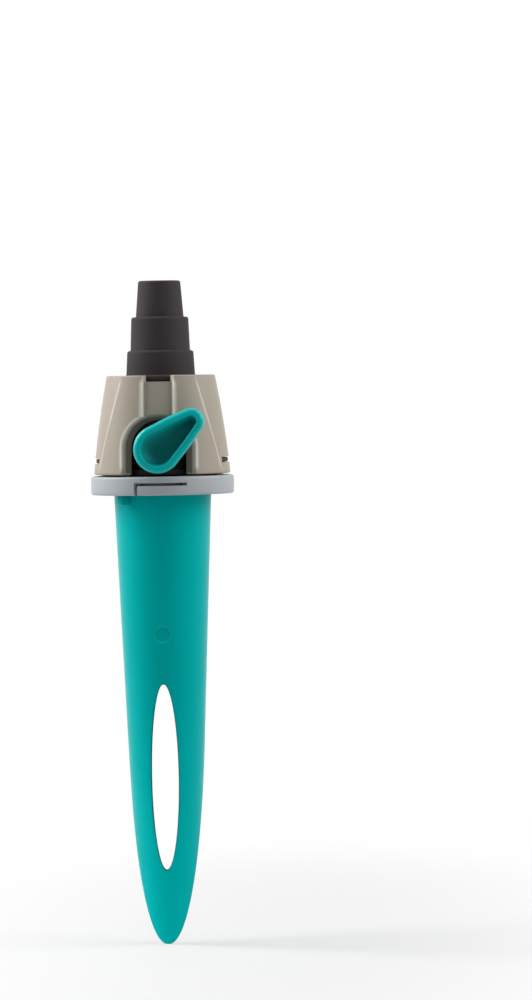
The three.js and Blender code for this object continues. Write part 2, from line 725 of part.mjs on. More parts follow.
function tapKnob() {
  const rim = (inset, ahead) =>
    dropOutline(KNOB_ROUND - inset, KNOB_TIP - inset, KNOB_REACH, ahead);
  const cup = loft(
    [
      rim(KNOB_EDGE, cupBack),
      rim(0, cupBack + KNOB_EDGE),
      rim(0, knobFace - KNOB_EDGE),
      rim(KNOB_EDGE / 3, knobFace - KNOB_EDGE / 3),
      rim(KNOB_EDGE, knobFace),
    ],
    seenFromFront,
  );
  const dishRound = KNOB_ROUND - KNOB_RIM;
  const dishTip = KNOB_TIP - KNOB_RIM;
  const dish = loft(
    [
      dropOutline(dishRound - DISH_SLOPE, dishTip / 2, KNOB_REACH - DISH_SLOPE, knobFace - DISH_DEPTH),
      dropOutline(dishRound, dishTip, KNOB_REACH, knobFace),
      dropOutline(dishRound, dishTip, KNOB_REACH, knobFace + 1),
    ],
    seenFromFront,
  );
  return cup
    .subtract(dish)
    .add(tapRod(HUB_RADIUS, hubBack, cupBack + KNOB_EDGE))
    .subtract(squareBar(SQUARE + 2 * SEAT_GAP, hubBack - 1, squareBack + SQUARE_LENGTH + SEAT_GAP));
}

function tapSpindle() {
  const floor = spindleRadius - SEAL_GROOVE;
  const groove = (middle) => [
    [spindleRadius, middle - SEAL_GROOVE_WIDTH / 2],
    [floor, middle - SEAL_GROOVE_WIDTH / 2],
    [floor, middle + SEAL_GROOVE_WIDTH / 2],
    [spindleRadius, middle + SEAL_GROOVE_WIDTH / 2],
  ];
  const clipBack = -BARREL_BACK - CLIP_RING_THICKNESS - 3 * SEAT_GAP;
  const clipFront = -BARREL_BACK;
  const shaft = turnedOnTap(
    [
      [0, clipBack - SPINDLE_TAIL],
      [spindleRadius, clipBack - SPINDLE_TAIL],
      [spindleRadius, clipBack],
      [spindleRadius - CLIP_GROOVE, clipBack],
      [spindleRadius - CLIP_GROOVE, clipFront],
      [spindleRadius, clipFront],
      ...groove(SEAL_FROM_END - BARREL_BACK),
      ...groove(BARREL_FRONT - SEAL_FROM_END),
      [spindleRadius, hubBack - SEAT_GAP],
      [0, hubBack - SEAT_GAP],
    ],
    22,
  );
  const core = new THREE.CylinderGeometry(METER_CORE, METER_CORE, 2 * METER_WIDTH, 22);
  const meter = tapRod(2 * spindleRadius, -METER_WIDTH / 2, METER_WIDTH / 2, 22);
  return shaft
    .subtract(meter.subtract(solid(core.translate(METER_SHIFT, 0, tapZ))))
    .add(squareBar(SQUARE, hubBack - 2 * SEAT_GAP, squareBack + SQUARE_LENGTH));
}

function spindleSeal(ahead) {
  const ring = fittedSeal(spindleRadius, BARREL_BORE).rotateX(Math.PI / 2);
  return solid(ring.translate(0, -ahead, tapZ));
}

function thrustWasher() {
  const back = BARREL_FRONT + SEAT_GAP;
  return tapRod(WASHER_RADIUS, back, washerFront).subtract(
    tapRod(BARREL_BORE, back - 1, washerFront + 1),
  );
}

function spindleClip() {
  const front = -BARREL_BACK - SEAT_GAP;
  const back = front - CLIP_RING_THICKNESS;
  const inner = spindleRadius - CLIP_GROOVE + SEAT_GAP;
  const open = 180 - CLIP_RING_GAP / 2;
  const outside = arc(CLIP_RING_RADIUS, -open, open, CLIP_RING_STEP);
  const outline = [...outside, ...arc(inner, open, -open, CLIP_RING_STEP)];
  const shape = new THREE.Shape(outline.map((p) => new THREE.Vector2(p.x, tapZ - p.y)));
  return carriedForward(shape, back, front);
}

const finishes = {
  teal: { color: 0x00a6a3, roughness: 0.38, metalness: 0 },
  taupe: { color: 0xb3a897, roughness: 0.42, metalness: 0 },
  grey: { color: 0xa3a7aa, roughness: 0.5, metalness: 0 },
  charcoal: { color: 0x3f4143, roughness: 0.5, metalness: 0 },
  rubber: { color: 0x38343a, roughness: 0.7, metalness: 0 },
  white: { color: 0xd9d9d4, roughness: 0.4, metalness: 0 },
  steel: { color: 0xb8babc, roughness: 0.3, metalness: 1 },
};
const materials = Object.fromEntries(
  Object.entries(finishes).map(([name, finish]) => [name, new THREE.MeshStandardMaterial(finish)]),
);

function piece(name, made, material) {
  const { vertProperties, triVerts } = made.getMesh();
  const geometry = new THREE.BufferGeometry();
  geometry.setAttribute('position', new THREE.BufferAttribute(vertProperties, 3));
  geometry.setIndex(new THREE.BufferAttribute(triVerts, 1));
  geometry.computeVertexNormals();
  const mesh = new THREE.Mesh(geometry, material);
  mesh.name = name;
  return mesh;
}

const head = new THREE.Group();
head.add(
  piece('soil_ring', soilRing(), materials.grey),
  piece('head_cover', headCover(), materials.taupe),
  piece('valve_body', valveBody(), materials.charcoal),
  piece('inlet_spigot', inletSpigot(), materials.charcoal),
  piece('spigot_seal', spigotSeal(), materials.rubber),
  piece('inlet_strainer', inletStrainer(), materials.white),
  piece('bottle_adapter', bottleAdapter(), materials.rubber),
  piece('drip_nozzle', dripNozzle(), materials.white),
  piece('thrust_washer', thrustWasher(), materials.white),
);

const tap = new THREE.Group();
tap.add(
  piece('tap_knob', tapKnob(), materials.teal),
  piece('tap_spindle', tapSpindle(), materials.white),
  piece('spindle_seal_front', spindleSeal(BARREL_FRONT - SEAL_FROM_END), materials.rubber),
  piece('spindle_seal_rear', spindleSeal(SEAL_FROM_END - BARREL_BACK), materials.rubber),
  piece('spindle_clip', spindleClip(), materials.steel),
);

const waterer = new THREE.Group();
waterer.add(piece('spike', spike(), materials.teal), head, tap);

export default waterer;
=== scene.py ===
"""Drip plant waterer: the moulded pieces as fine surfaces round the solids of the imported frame.

Sizes are in millimetres in the frame of the solids: Z up, the tap towards -Y, the origin on the axis at
the soil line. An azimuth is an angle about Z in degrees from the front, positive towards +X.
"""
import math

import bmesh
import bpy
import numpy as np
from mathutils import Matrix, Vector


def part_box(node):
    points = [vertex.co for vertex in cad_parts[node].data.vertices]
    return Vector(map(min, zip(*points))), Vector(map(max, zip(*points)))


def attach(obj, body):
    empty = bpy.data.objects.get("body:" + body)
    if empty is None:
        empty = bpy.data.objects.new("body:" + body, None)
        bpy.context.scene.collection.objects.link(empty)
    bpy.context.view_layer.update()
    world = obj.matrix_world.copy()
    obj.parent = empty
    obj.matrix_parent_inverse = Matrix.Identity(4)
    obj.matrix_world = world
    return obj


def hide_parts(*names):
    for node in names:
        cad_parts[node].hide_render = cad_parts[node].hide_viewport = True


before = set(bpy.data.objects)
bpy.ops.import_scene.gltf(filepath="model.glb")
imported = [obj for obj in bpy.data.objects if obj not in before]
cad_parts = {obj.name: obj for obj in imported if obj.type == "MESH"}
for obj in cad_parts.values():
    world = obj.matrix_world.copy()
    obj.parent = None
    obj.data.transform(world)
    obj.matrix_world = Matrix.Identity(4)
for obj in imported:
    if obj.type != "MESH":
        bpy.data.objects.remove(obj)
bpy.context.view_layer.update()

MM = 0.001
DEG = math.pi / 180
TINY = 1e-6  # keeps divisions finite


def node_box(node):
    """Lowest and highest corner of a solid, in millimetres."""
    low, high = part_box(node)
    return np.array(low) / MM, np.array(high) / MM


spike_low, spike_high = node_box("spike")
ring_high = node_box("soil_ring")[1]
cover_low, cover_high = node_box("head_cover")
adapter_low, adapter_high = node_box("bottle_adapter")
valve_low, valve_high = node_box("valve_body")
knob_low, knob_high = node_box("tap_knob")
washer_low, washer_high = node_box("thrust_washer")
nozzle_low, nozzle_high = node_box("drip_nozzle")
spigot_high = node_box("inlet_spigot")[1]

# Spike
SPIKE_LENGTH = -spike_low[2]
SPIKE_TOP_RADIUS = 17.8
SPIKE_TAPER = 0.0415  # radius lost with each millimetre down
SPIKE_NOSE = 71  # height of the nose above the tip
SPIKE_NOSE_POWER = 2.5
SPIKE_WALL = 2
SPIKE_LEAN = 4.6  # how far the front draws in at the tip
SPIKE_ROWS = {"nose": 40, "slot": 90, "gap": 16, "dimple": 40, "back": 44, "neck": 14}
SPIKE_COLUMNS = 84
TRIAL_ROWS = 20001  # heights tried when looking for the end of the cut
TIP_CROWDING = 2.2  # above 1 the rows crowd at the tip
FRONT_CROWDING = 0.55  # above 0 the columns crowd at the front
SCOOP_TIP_DEPTH = 1.2  # from the front to the cut, at the tip
SCOOP_SLOPE = 0.2  # how much that depth grows with each millimetre up
SCOOP_BEND = 100  # height above the tip from which the cut bends away
SCOOP_CURL = 0.00175
SCOOP_ROLL = 0.4  # how far the rounded edge of the scoop reaches into the wall
SCOOP_TIP_FADE = 3  # height above the tip at which that edge is full
SLOT_BOTTOM = 27.3  # above the tip, as the other heights of slot and dimple
SLOT_LENGTH = 67.7
SLOT_WIDTH = 9.7
SLOT_ROLL = 0.5
SLOT_MIDDLE = SLOT_BOTTOM + SLOT_LENGTH / 2
SLOT_REACH = SLOT_LENGTH / 2 + SLOT_ROLL  # from its middle to where its edge starts to roll in
SLOT_PAINTED_SHADE = 0.9  # how dark the painted shade on the walls of the slot is
HOLE_SQUARE = 0.6  # shoulders of the rolled edges of slot and keyhole
DIMPLE_HEIGHT = 113.3
DIMPLE_RADIUS = 3.5
DIMPLE_DEPTH = 0.6
DIMPLE_BEVEL = 1
DIMPLE_MARGIN = 1  # how far its close rows reach past it
DIMPLE_HIGHLIGHT = 0.22  # how pale the painted highlight on its side is
LUG_COUNT = 3
LUG_AZIMUTH = 60
LUG_AZIMUTHS = LUG_AZIMUTH + np.arange(LUG_COUNT) * 360 / LUG_COUNT
LUG_SPAN = 22
LUG_REACH = 1.8
LUG_BOTTOM = 3
LUG_HEIGHT = 1.8
LUG_EDGE = 0.3
TAB_AZIMUTH = -42
TAB_SPAN = 7
TAB_REACH = 4.4
TAB_TOP = -0.3
TAB_HEIGHT = 3.2
TAB_EDGE = 0.6
TAB_STEPS = 10

# Soil ring
RING_RADIUS = ring_high[0]
RING_HEIGHT = 6.8
RING_WALL = 2
RING_FLOOR = 2.4
RING_BORE = 18.1
RING_COLLAR = 21.1
RING_EDGE = 0.9
RING_INNER_EDGE = 0.4
RING_SMALL_EDGE = 0.3
RING_FINE_EDGE = 0.2
RING_WELD = 0.0005
RING_SIDES = 260
TONGUE_SIDES = 48
GROOVE_RADIUS = 19.9
BAYONET_LEDGE = 2.7
LOCK_TURN = 38  # degrees from locked to free
LOCK_SLACK = 0.6
LOCK_REACH = LUG_SPAN / 2 + LOCK_SLACK
BAYONET_STEP = 0.002  # keeps the corners at the ledge apart where the bore is even
GROOVE_STEP = 0.04  # degrees to either side in which the groove sets in
TONGUE_FROM = -18  # azimuths of its free and its rooted end
TONGUE_TO = 23
TONGUE_HEIGHT = 3.5
TONGUE_SLIT = 1
SLIT_PAINTED_SHADE = 0.7  # how dark the painted shade on the floor behind the slit is
HOOK_SPAN = 44
HOOK_INNER = 20.8
HOOK_OUTER = 22.1
HOOK_REACH = 2
HOOK_EDGE = 0.2
TOOTH_GAP = 0.3  # between the tooth of a hook and the edges of its window
TOOTH_ROOT = 0.2
TOOTH_EDGE = 0.3
CLIP_WIDTH = 25
CLIP_DROP = 15
CLIP_ROUND = 8  # height of the half ellipse on which it ends
CLIP_WALL = 2
CLIP_SET_BACK = 0.7
CLIP_OUTER = RING_RADIUS - CLIP_SET_BACK
CLIP_SIDES = 61
CLIP_SIDE_EDGE = 0.7
CLIP_THINNEST = 0.05  # share of the wall that is left at the side edges
CLIP_LOW_EDGE = 0.9  # shares of half the wall by which the edges are round
CLIP_TOP_EDGE = 0.05

# Head cover
COVER_BOTTOM = cover_low[2]
COVER_TOP = cover_high[2]
COVER_BOTTOM_RADIUS = 25
COVER_TOP_RADIUS = 19.8
COVER_BULGE = 0.45
COVER_WALL = 2
COVER_EDGE = 0.6
DECK_TOP = 41.2
DECK_BOTTOM = 39
DECK_BORE = 6.2
RIM_INNER = 18.1
RIM_BEVEL = 0.2  # of the rim's inner edge
COVER_ROWS = {"sill": 8, "arch": 48, "brow": 44, "rim": 5, "round": 6}
COVER_COLUMNS = [12, 6, 28, 6, 12, 24, 30]  # from knot to knot, from the middle to the back
HIGHLIGHT_PLACES = [1.2, 1.7, 2, 2.1, 2.9, 3, 3.3, 3.8]  # where the painted highlight on the bevels of the panels starts, is full and ends, in knots
PANEL_RAISE_BOTTOM = 0.8
PANEL_RAISE_TOP = 1.5
PANEL_AZIMUTH_BOTTOM = 64  # of the outer edge of a panel
PANEL_AZIMUTH_TOP = 41
PANEL_BEVEL = 0.8
INNER_HIGHLIGHT = 0.8  # how pale the painted highlight on the inner bevels of the panels is
OUTER_HIGHLIGHT = 0.45
HIGHLIGHT_FADE = 3  # height over which the painted highlight fades at both ends
CHANNEL_WIDTH = 9.8  # between the panels, above the tap
POCKET_RADIUS = 12.4  # of the arch between the panels, round the tap
KEYHOLE_RADIUS = 10.3
KEYHOLE_ROLL = 0.4
KEYHOLE_START = KEYHOLE_RADIUS + KEYHOLE_ROLL  # where its edge starts to roll in
LEDGE_FADE = 2  # height above the keyhole over which the ledge runs out
# Painted shade on the ledge round the keyhole, and how far it spreads:
LEDGE_PAINTED_SHADE = 0.75
LEDGE_SPREAD = 4  # above 1 the painted shade reaches further from the keyhole
LEDGE_SINK = 1.2  # how far the ledge round the tap falls towards the keyhole
WINDOW_HALF_SPAN = 24
WINDOW_RISE = 5
WINDOW_MIDDLE = COVER_BOTTOM + WINDOW_RISE
WINDOW_HEIGHT = 2

# Valve body, nozzle and washer
TAP_RISE = 9.4
TAP_Z = COVER_BOTTOM + TAP_RISE
BARREL_BORE = 4.6
BARREL_RADIUS = 7.2
BARREL_MIDDLE = (BARREL_BORE + BARREL_RADIUS) / 2  # middle of its wall
BARREL_BACK = 14
BARREL_EDGE = 0.4
COLUMN_BORE = 6.2
COLUMN_RADIUS = 8
COLUMN_EDGE = 0.1
COLUMN_SIDES = 96
SADDLE_LEAST = 0.1  # lowest height of a saddle above the tap axis
SHIELD_RADIUS = 18
SHIELD_WALL = 1.6
SHIELD_SPAN = 104
SHIELD_EDGE = 0.3
SHIELD_ROOT = 0.4
SHIELD_SIDES = 120
SHIELD_STEPS = 24
SHIELD_EDGE_STEPS = 9
BASE_THICKNESS = 2.2
BASE_EDGES = [0, 0, 0, 0.3, 0.5, 0.6, 0.4, 0.4]  # corner by corner, outwards from the outlet
BOSS_RADIUS = 5.5
BOSS_DROP = 5
OUTLET_RADIUS = 1.6
NOZZLE_SOCKET = 3.3
NOZZLE_SOCKET_DEPTH = 7.3
NOZZLE_SHANK = 3
NOZZLE_FLANGE = 4.6
NOZZLE_FLANGE_THICKNESS = 1.4
NOZZLE_TIP_LENGTH = 7.4
NOZZLE_TIP_RADIUS = 1.4
NOZZLE_BORE = 0.8
NOZZLE_EDGES = [0.1, 0.25, 0.2, 0.3, 0.3, 0, 0.3, 0]  # corner by corner, upwards from the tip
NOZZLE_SIDES = 72
WASHER_EDGE = 0.2
WASHER_SIDES = 96

# Bottle adapter
ADAPTER_BASE_RADIUS = adapter_high[0]
ADAPTER_STEP_HEIGHTS = [9, 12.3, 13.3]
ADAPTER_STEP_BOTTOMS = [12.6, 10.9, 8.75]
ADAPTER_STEP_TOPS = [12.1, 10.45, 7.7]
ADAPTER_EDGE = 0.9
ADAPTER_STEP_ROOT = 0.35
ADAPTER_FLANGE_EDGE = 0.7
ADAPTER_FOOT_EDGE = 0.2
ADAPTER_MOUTH_EDGE = 0.6
ADAPTER_BORE_EDGE = 0.1
ADAPTER_MOUTH = 5
ADAPTER_GRIP = 5.6
ADAPTER_RECESS = 8.9
ADAPTER_RECESS_DEPTH = 2
ADAPTER_NECK_ROOM = 0.3  # above the end of the spigot

# Tap knob
LEVER_REST = 39  # degrees of the lever above level
KNOB_ROUND = 8.7  # radius round the tap axis
KNOB_TIP = 4.8  # radius round the tip
KNOB_REACH = 15.8  # from the tap axis to the middle of the tip
KNOB_SIDE_BULGE = 0.25
KNOB_RIM = 2.8  # width of the rim
KNOB_BACK_EDGE = 0.7
KNOB_FRONT_EDGE = 2
KNOB_INNER_EDGE = 0.6
KNOB_LIP_TURN = 75  # degrees by which that edge turns down into the dish
KNOB_ROWS = {"edge": 8, "lip": 7, "dish": 41}
DROP_STEPS = {"round": 73, "tip": 41, "side": 26}
KNOB_FACE = -knob_low[1]
HUB_BACK = -knob_high[1]
HUB_RADIUS = 6.4
HUB_LENGTH = 1.4
HUB_BORE = 0.5
HUB_EDGE = 0.3
HUB_ROOT = 0.3  # how far the hub reaches into the knob
HUB_SIDES = 96
DISH_DEPTH = 3.8
DISH_STEEPNESS = 3
DISH_CROWDING = 1.6  # above 1 the rows crowd at the brink
DISH_PAINTED_SHADE_SPREAD = 0.55  # below 1 the painted shade darkens the dish early on its way down
DISH_LEAN = 1.2  # how far the floor lies off the middle, towards the lower side of the lever

# Meshes
WELD = 0.004  # points that are closer than this become one
SHARP_ANGLE = 38  # edges that turn by more degrees than this look sharp
EDGE_SHARE = 0.98  # a little less than all, so that no side of a section shrinks to nothing
EDGE_STEPS = 5  # points on each round edge of a block


def grid_faces(rows, cols, first):
    """Corner numbers of the four-sided faces of a rows by cols grid of points that starts at first."""
    corner = first + np.arange(rows - 1)[:, None] * cols + np.arange(cols - 1)[None, :]
    return np.stack([corner, corner + 1, corner + 1 + cols, corner + cols], axis=-1).reshape(-1, 4)


def in_scene(name, data):
    """A new object of the scene."""
    made = bpy.data.objects.new(name, data)
    bpy.context.scene.collection.objects.link(made)
    return made


def moulded(name, grids, material, body, replaces, weld=WELD, fill=False, painted_light=()):
    """One piece from grids of points in millimetres: each grid gives a sheet of four-sided faces, sheets
    that meet at equal points are welded there, open ends can be filled, and all faces are turned outwards.
    Painted light is given by a number for each grid, or for each of its points: from 0 to 1 how strong
    the painted shade is, or below 0 how strong the painted highlight is."""
    sizes = [grid.shape[0] * grid.shape[1] for grid in grids]
    firsts = np.concatenate([[0], np.cumsum(sizes)[:-1]]).astype(int)
    points = np.concatenate([grid.reshape(-1, 3) for grid in grids]) * MM
    faces = np.concatenate([grid_faces(*g.shape[:2], first) for g, first in zip(grids, firsts)])
    mesh = bpy.data.meshes.new(name)
    mesh.from_pydata(points, [], faces)
    # painted light as a point attribute: painted shade above 0, painted highlight below 0
    if painted_light:
        depth = [np.broadcast_to(tone, grid.shape[:2]).ravel() for tone, grid in zip(painted_light, grids)]
        mesh.attributes.new("painted_light", "FLOAT", "POINT").data.foreach_set("value", np.concatenate(depth))
    work = bmesh.new()
    work.from_mesh(mesh)
    bmesh.ops.remove_doubles(work, verts=work.verts, dist=weld * MM)
    if fill:
        open_edges = [edge for edge in work.edges if edge.is_boundary]
        bmesh.ops.holes_fill(work, edges=open_edges, sides=0)
    bmesh.ops.recalc_face_normals(work, faces=work.faces)
    work.to_mesh(mesh)
    work.free()
    mesh.shade_smooth()
    mesh.set_sharp_from_angle(angle=SHARP_ANGLE * DEG)
    mesh.materials.append(material)
    piece = in_scene(name, mesh)
    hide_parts(replaces)
    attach(piece, body)


def rounded(corners, radii, steps=6):
    """Closed outline with a round arc at each corner: the arc's centre lies on the corner's bisector, at
    the distance where a circle of the given radius touches both sides. Corners may have leading axes."""
    corners = np.asarray(corners, float)
    radii = np.broadcast_to(np.asarray(radii, float), corners.shape[:-1])[..., None]
    back = np.roll(corners, 1, axis=-2) - corners
    ahead = np.roll(corners, -1, axis=-2) - corners
    back /= np.linalg.norm(back, axis=-1, keepdims=True)
    ahead /= np.linalg.norm(ahead, axis=-1, keepdims=True)
    half = np.arccos(np.clip((back * ahead).sum(-1, keepdims=True), -1, 1)) / 2
    centre = corners + (back + ahead) / (2 * np.cos(half)) * radii / np.sin(half)
    start = corners + back * radii / np.tan(half) - centre
    end = corners + ahead * radii / np.tan(half) - centre
    sweep = math.pi - 2 * half[..., None, :]
    part = np.linspace(0, 1, steps)[:, None]
    turn = np.sin((1 - part) * sweep) * start[..., None, :] + np.sin(part * sweep) * end[..., None, :]
    points = centre[..., None, :] + turn / np.sin(sweep)
    return points.reshape(*corners.shape[:-2], -1, 2)


def closed(loop):
    """The loop with its first point repeated at its end."""
    return np.concatenate([loop, loop[..., :1, :]], axis=-2)


def round_z(loop, azimuths):
    """Outline of (radius, height) points carried round Z through the azimuths."""
    turn = np.asarray(azimuths)[:, None] * DEG
    loop = np.broadcast_to(loop, (len(turn), *loop.shape[-2:]))
    return np.stack([loop[..., 0] * np.sin(turn), -loop[..., 0] * np.cos(turn), loop[..., 1]], axis=-1)


def turned(loop, sides=160):
    """Surface of revolution: a closed outline of (radius, height) points carried once round Z."""
    return round_z(closed(loop), np.linspace(0, 360, sides + 1))


def turned_on_tap(loop, sides=120):
    """Surface of revolution: a closed outline of (radius, distance ahead) carried round the tap axis."""
    x, y, z = np.moveaxis(turned(loop, sides), -1, 0)
    return np.stack([x, -z, TAP_Z - y], axis=-1)


def soft_sector(inner, outer, start, end, bottom, top, edge, steps=24):
    """Block between two radii, azimuths and heights with round edges: a rounded rectangle of radius and
    height carried through the azimuths, drawn in by a quarter circle at both ends, which are flat."""
    lead = np.degrees(edge / outer)
    drawn = lead * (1 - np.cos(np.linspace(0, 90, EDGE_STEPS) * DEG))
    along = np.linspace(start, end, steps)[1:-1]
    azimuths = np.sort(np.concatenate([start + drawn, along, end - drawn]))
    near = np.minimum(azimuths - start, end - azimuths) / lead
    inset = edge * (1 - np.sqrt(1 - (1 - np.clip(near, 0, 1)) ** 2))
    left, right = inner + inset, outer - inset
    low, high = bottom + inset, top - inset
    corners = np.stack([left, low, right, low, right, high, left, high], axis=-1).reshape(-1, 4, 2)
    wall = round_z(closed(rounded(corners, edge * EDGE_SHARE, EDGE_STEPS)), azimuths)
    caps = [np.stack([row, np.broadcast_to(row.mean(axis=0), row.shape)]) for row in (wall[0], wall[-1])]
    return [wall, *caps]


def roll(start, end, brink, steps=9, square=0.7):
    """Rounded edge from one row of points to another: half a superellipse that starts at start, passes the
    brink in its middle and comes back to end. A lower square gives fuller shoulders."""
    turn = np.linspace(0, math.pi, steps)[None, :, None]
    middle = ((start + end) / 2)[:, None, :]
    across = np.sign(np.cos(turn)) * np.abs(np.cos(turn)) ** square
    along = np.sin(turn) ** square
    return middle + (start[:, None, :] - middle) * across + (brink[:, None, :] - middle) * along


def mirrored(grids):
    """The grids and their mirror images on the other side of the plane x = 0."""
    return grids + [grid * np.array([-1, 1, 1]) for grid in grids]


def smooth(part):
    """Even S-curve from 0 to 1: three times the square less twice the cube."""
    part = np.clip(part, 0, 1)
    return part * part * (3 - 2 * part)


def spike_section(height):
    """Horizontal section of the spike at heights above its tip: a round wall whose most forward line is at
    y = front, kept as far back as depth behind that line. The nose is a superellipse, the depth grows
    evenly with height and then with its square, and the front draws in to the tip by a square law."""
    height = np.minimum(height, SPIKE_LENGTH)
    nose = np.clip(height / SPIKE_NOSE, 0, 1)
    straight = SPIKE_TOP_RADIUS - SPIKE_TAPER * (SPIKE_LENGTH - height)
    half = straight * (1 - (1 - nose) ** SPIKE_NOSE_POWER) ** (1 / SPIKE_NOSE_POWER)
    bend = np.maximum(0, height - SCOOP_BEND)
    depth = SCOOP_TIP_DEPTH + SCOOP_SLOPE * height + SCOOP_CURL * bend**2
    radius = np.where(depth < half, (half**2 + depth**2) / (2 * depth), half)
    front = SPIKE_LEAN * (1 - height / SPIKE_LENGTH) ** 2 - SPIKE_TOP_RADIUS
    return radius, front, depth


def spike_heights():
    """Heights of the rows above the tip: close together at the tip, along the ends of the slot, at the
    dimple and where the scoop's cut leaves the back. Returns the outer and the inner rows, the first row past
    the cut and the rows along the slot."""
    trial = np.linspace(SPIKE_NOSE, SPIKE_LENGTH, TRIAL_ROWS)
    radius, _, depth = spike_section(trial)
    outer_end = np.interp(0, depth - SCOOP_ROLL - 2 * radius, trial)
    inner_end = np.interp(0, depth - SCOOP_ROLL - 2 * radius + SPIKE_WALL, trial)
    below, above = DIMPLE_HEIGHT + np.array([-1, 1]) * (DIMPLE_RADIUS + DIMPLE_MARGIN)
    top = SPIKE_LENGTH + spike_high[2]
    nose = (SLOT_MIDDLE - SLOT_REACH) * np.linspace(0, 1, SPIKE_ROWS["nose"])[:-1] ** TIP_CROWDING
    slot = SLOT_MIDDLE - SLOT_REACH * np.cos(np.linspace(0, math.pi, SPIKE_ROWS["slot"]))
    gap = np.linspace(SLOT_MIDDLE + SLOT_REACH, below, SPIKE_ROWS["gap"])[1:-1]
    dimple = np.linspace(below, above, SPIKE_ROWS["dimple"])
    back = above + (outer_end - above) * (1 - (1 - np.linspace(0, 1, SPIKE_ROWS["back"])[1:]) ** 2)
    neck = np.linspace(outer_end, top, SPIKE_ROWS["neck"])[1:]
    outer = np.concatenate([nose, slot, gap, dimple, back, neck])
    inner = np.interp(outer, [0, above, outer_end, top], [0, above, inner_end, top])
    return outer, inner, len(outer) - len(neck), slice(len(nose), len(nose) + len(slot))


def dimple_side(wall):
    """How far each point of the front wall is down the dimple's round side: from 0 at its brink to 1 at its
    floor, evenly with the distance from its middle."""
    off = np.hypot(wall[..., 0], wall[..., 2] + SPIKE_LENGTH - DIMPLE_HEIGHT)
    return np.clip((DIMPLE_RADIUS - off) / DIMPLE_BEVEL, 0, 1)


def spike_wall(heights, inset, past_cut):
    """One side of the spike's wall, inset from its outer face: x = r sin(a), y = centre - r cos(a), where
    the angle a runs from the slot's edge, or the middle, to the scoop's edge, or the back. The outer face
    sinks into the dimple by an S-curve of the way down its side."""
    radius, front, depth = spike_section(heights)
    along = (heights - SLOT_MIDDLE) / SLOT_REACH
    slot_half = (SLOT_WIDTH / 2 + SLOT_ROLL) * np.sqrt(np.maximum(0, 1 - along**2))
    kept = np.maximum(radius - inset, TINY)
    reach = np.maximum(depth - SCOOP_ROLL - inset, 0)
    start = np.arcsin(np.clip(slot_half / kept, 0, 1))
    end = np.arccos(np.clip(1 - reach / kept, -1, 1))
    end[past_cut:] = math.pi
    even = np.linspace(0, 1, SPIKE_COLUMNS)
    spread = (1 - FRONT_CROWDING) * even + FRONT_CROWDING * even**2
    angle = start[:, None] + (np.maximum(end, start) - start)[:, None] * spread
    centre = front + radius
    x = kept[:, None] * np.sin(angle)
    x[past_cut:, -1] = 0
    y = centre[:, None] - kept[:, None] * np.cos(angle)
    z = np.broadcast_to(heights[:, None] - SPIKE_LENGTH, x.shape)
    wall = np.stack([x, y, z], axis=-1)
    if inset == 0:
        wall[..., 1] += DIMPLE_DEPTH * smooth(dimple_side(wall)) * (y < 0)
    return wall


def spike(material):
    """Scoop spike: outer and inner wall, the rolled edge of the scoop, the rolled edge of the slot, the
    flat top, all mirrored, with the locking lugs and the tab below the ring."""
    outer_rows, inner_rows, past_cut, slot_rows = spike_heights()
    outer = spike_wall(outer_rows, 0, past_cut)
    inner = spike_wall(inner_rows, SPIKE_WALL, past_cut)
    outer_edge = outer[:past_cut, -1]
    inner_edge = inner[:past_cut, -1]
    lean = np.array([0, 1, -SCOOP_SLOPE])
    tip_fade = np.clip(outer_rows[:past_cut, None] / SCOOP_TIP_FADE, 0, 1)
    brink = (outer_edge + inner_edge) / 2 + SCOOP_ROLL * lean / np.linalg.norm(lean) * tip_fade
    brink[-1, 0] = 0
    scoop_edge = roll(outer_edge, inner_edge, brink)
    turn = np.linspace(0, math.pi, slot_rows.stop - slot_rows.start)
    outer_slot = outer[slot_rows, 0]
    inner_slot = inner[slot_rows, 0]
    slot_brink = np.stack(
        [
            SLOT_WIDTH / 2 * np.sin(turn),
            (outer_slot[:, 1] + inner_slot[:, 1]) / 2,
            SLOT_MIDDLE - SLOT_LENGTH / 2 * np.cos(turn) - SPIKE_LENGTH,
        ],
        axis=-1,
    )
    slot_edge = roll(outer_slot, inner_slot, slot_brink, square=HOLE_SQUARE)
    top = np.stack([outer[-1], inner[-1]])
    grids = mirrored([outer, inner, scoop_edge, slot_edge, top])
    # Painted shade on the rolled walls of the slot, and a painted highlight halfway down the dimple's side
    inward = np.clip(np.arange(slot_edge.shape[1]), 0, 1)
    side = dimple_side(outer)
    halfway = 4 * side * (1 - side)
    ring = -DIMPLE_HIGHLIGHT * halfway * (outer[..., 1] < 0)
    painted_light = [ring, 0, 0, SLOT_PAINTED_SHADE * inward, 0] * 2
    rooted = SPIKE_TOP_RADIUS - SPIKE_WALL / 2
    lug_outer, lug_top = SPIKE_TOP_RADIUS + LUG_REACH, LUG_BOTTOM + LUG_HEIGHT
    for middle in LUG_AZIMUTHS:
        start, end = middle - LUG_SPAN / 2, middle + LUG_SPAN / 2
        grids += soft_sector(rooted, lug_outer, start, end, LUG_BOTTOM, lug_top, LUG_EDGE)
    tab_outer, tab_bottom = SPIKE_TOP_RADIUS + TAB_REACH, TAB_TOP - TAB_HEIGHT
    start, end = TAB_AZIMUTH - TAB_SPAN / 2, TAB_AZIMUTH + TAB_SPAN / 2
    grids += soft_sector(rooted, tab_outer, start, end, tab_bottom, TAB_TOP, TAB_EDGE, TAB_STEPS)
    painted_light += [0] * (len(grids) - len(painted_light))
    moulded("spike_scoop", grids, material, "spike", "spike", painted_light=painted_light)


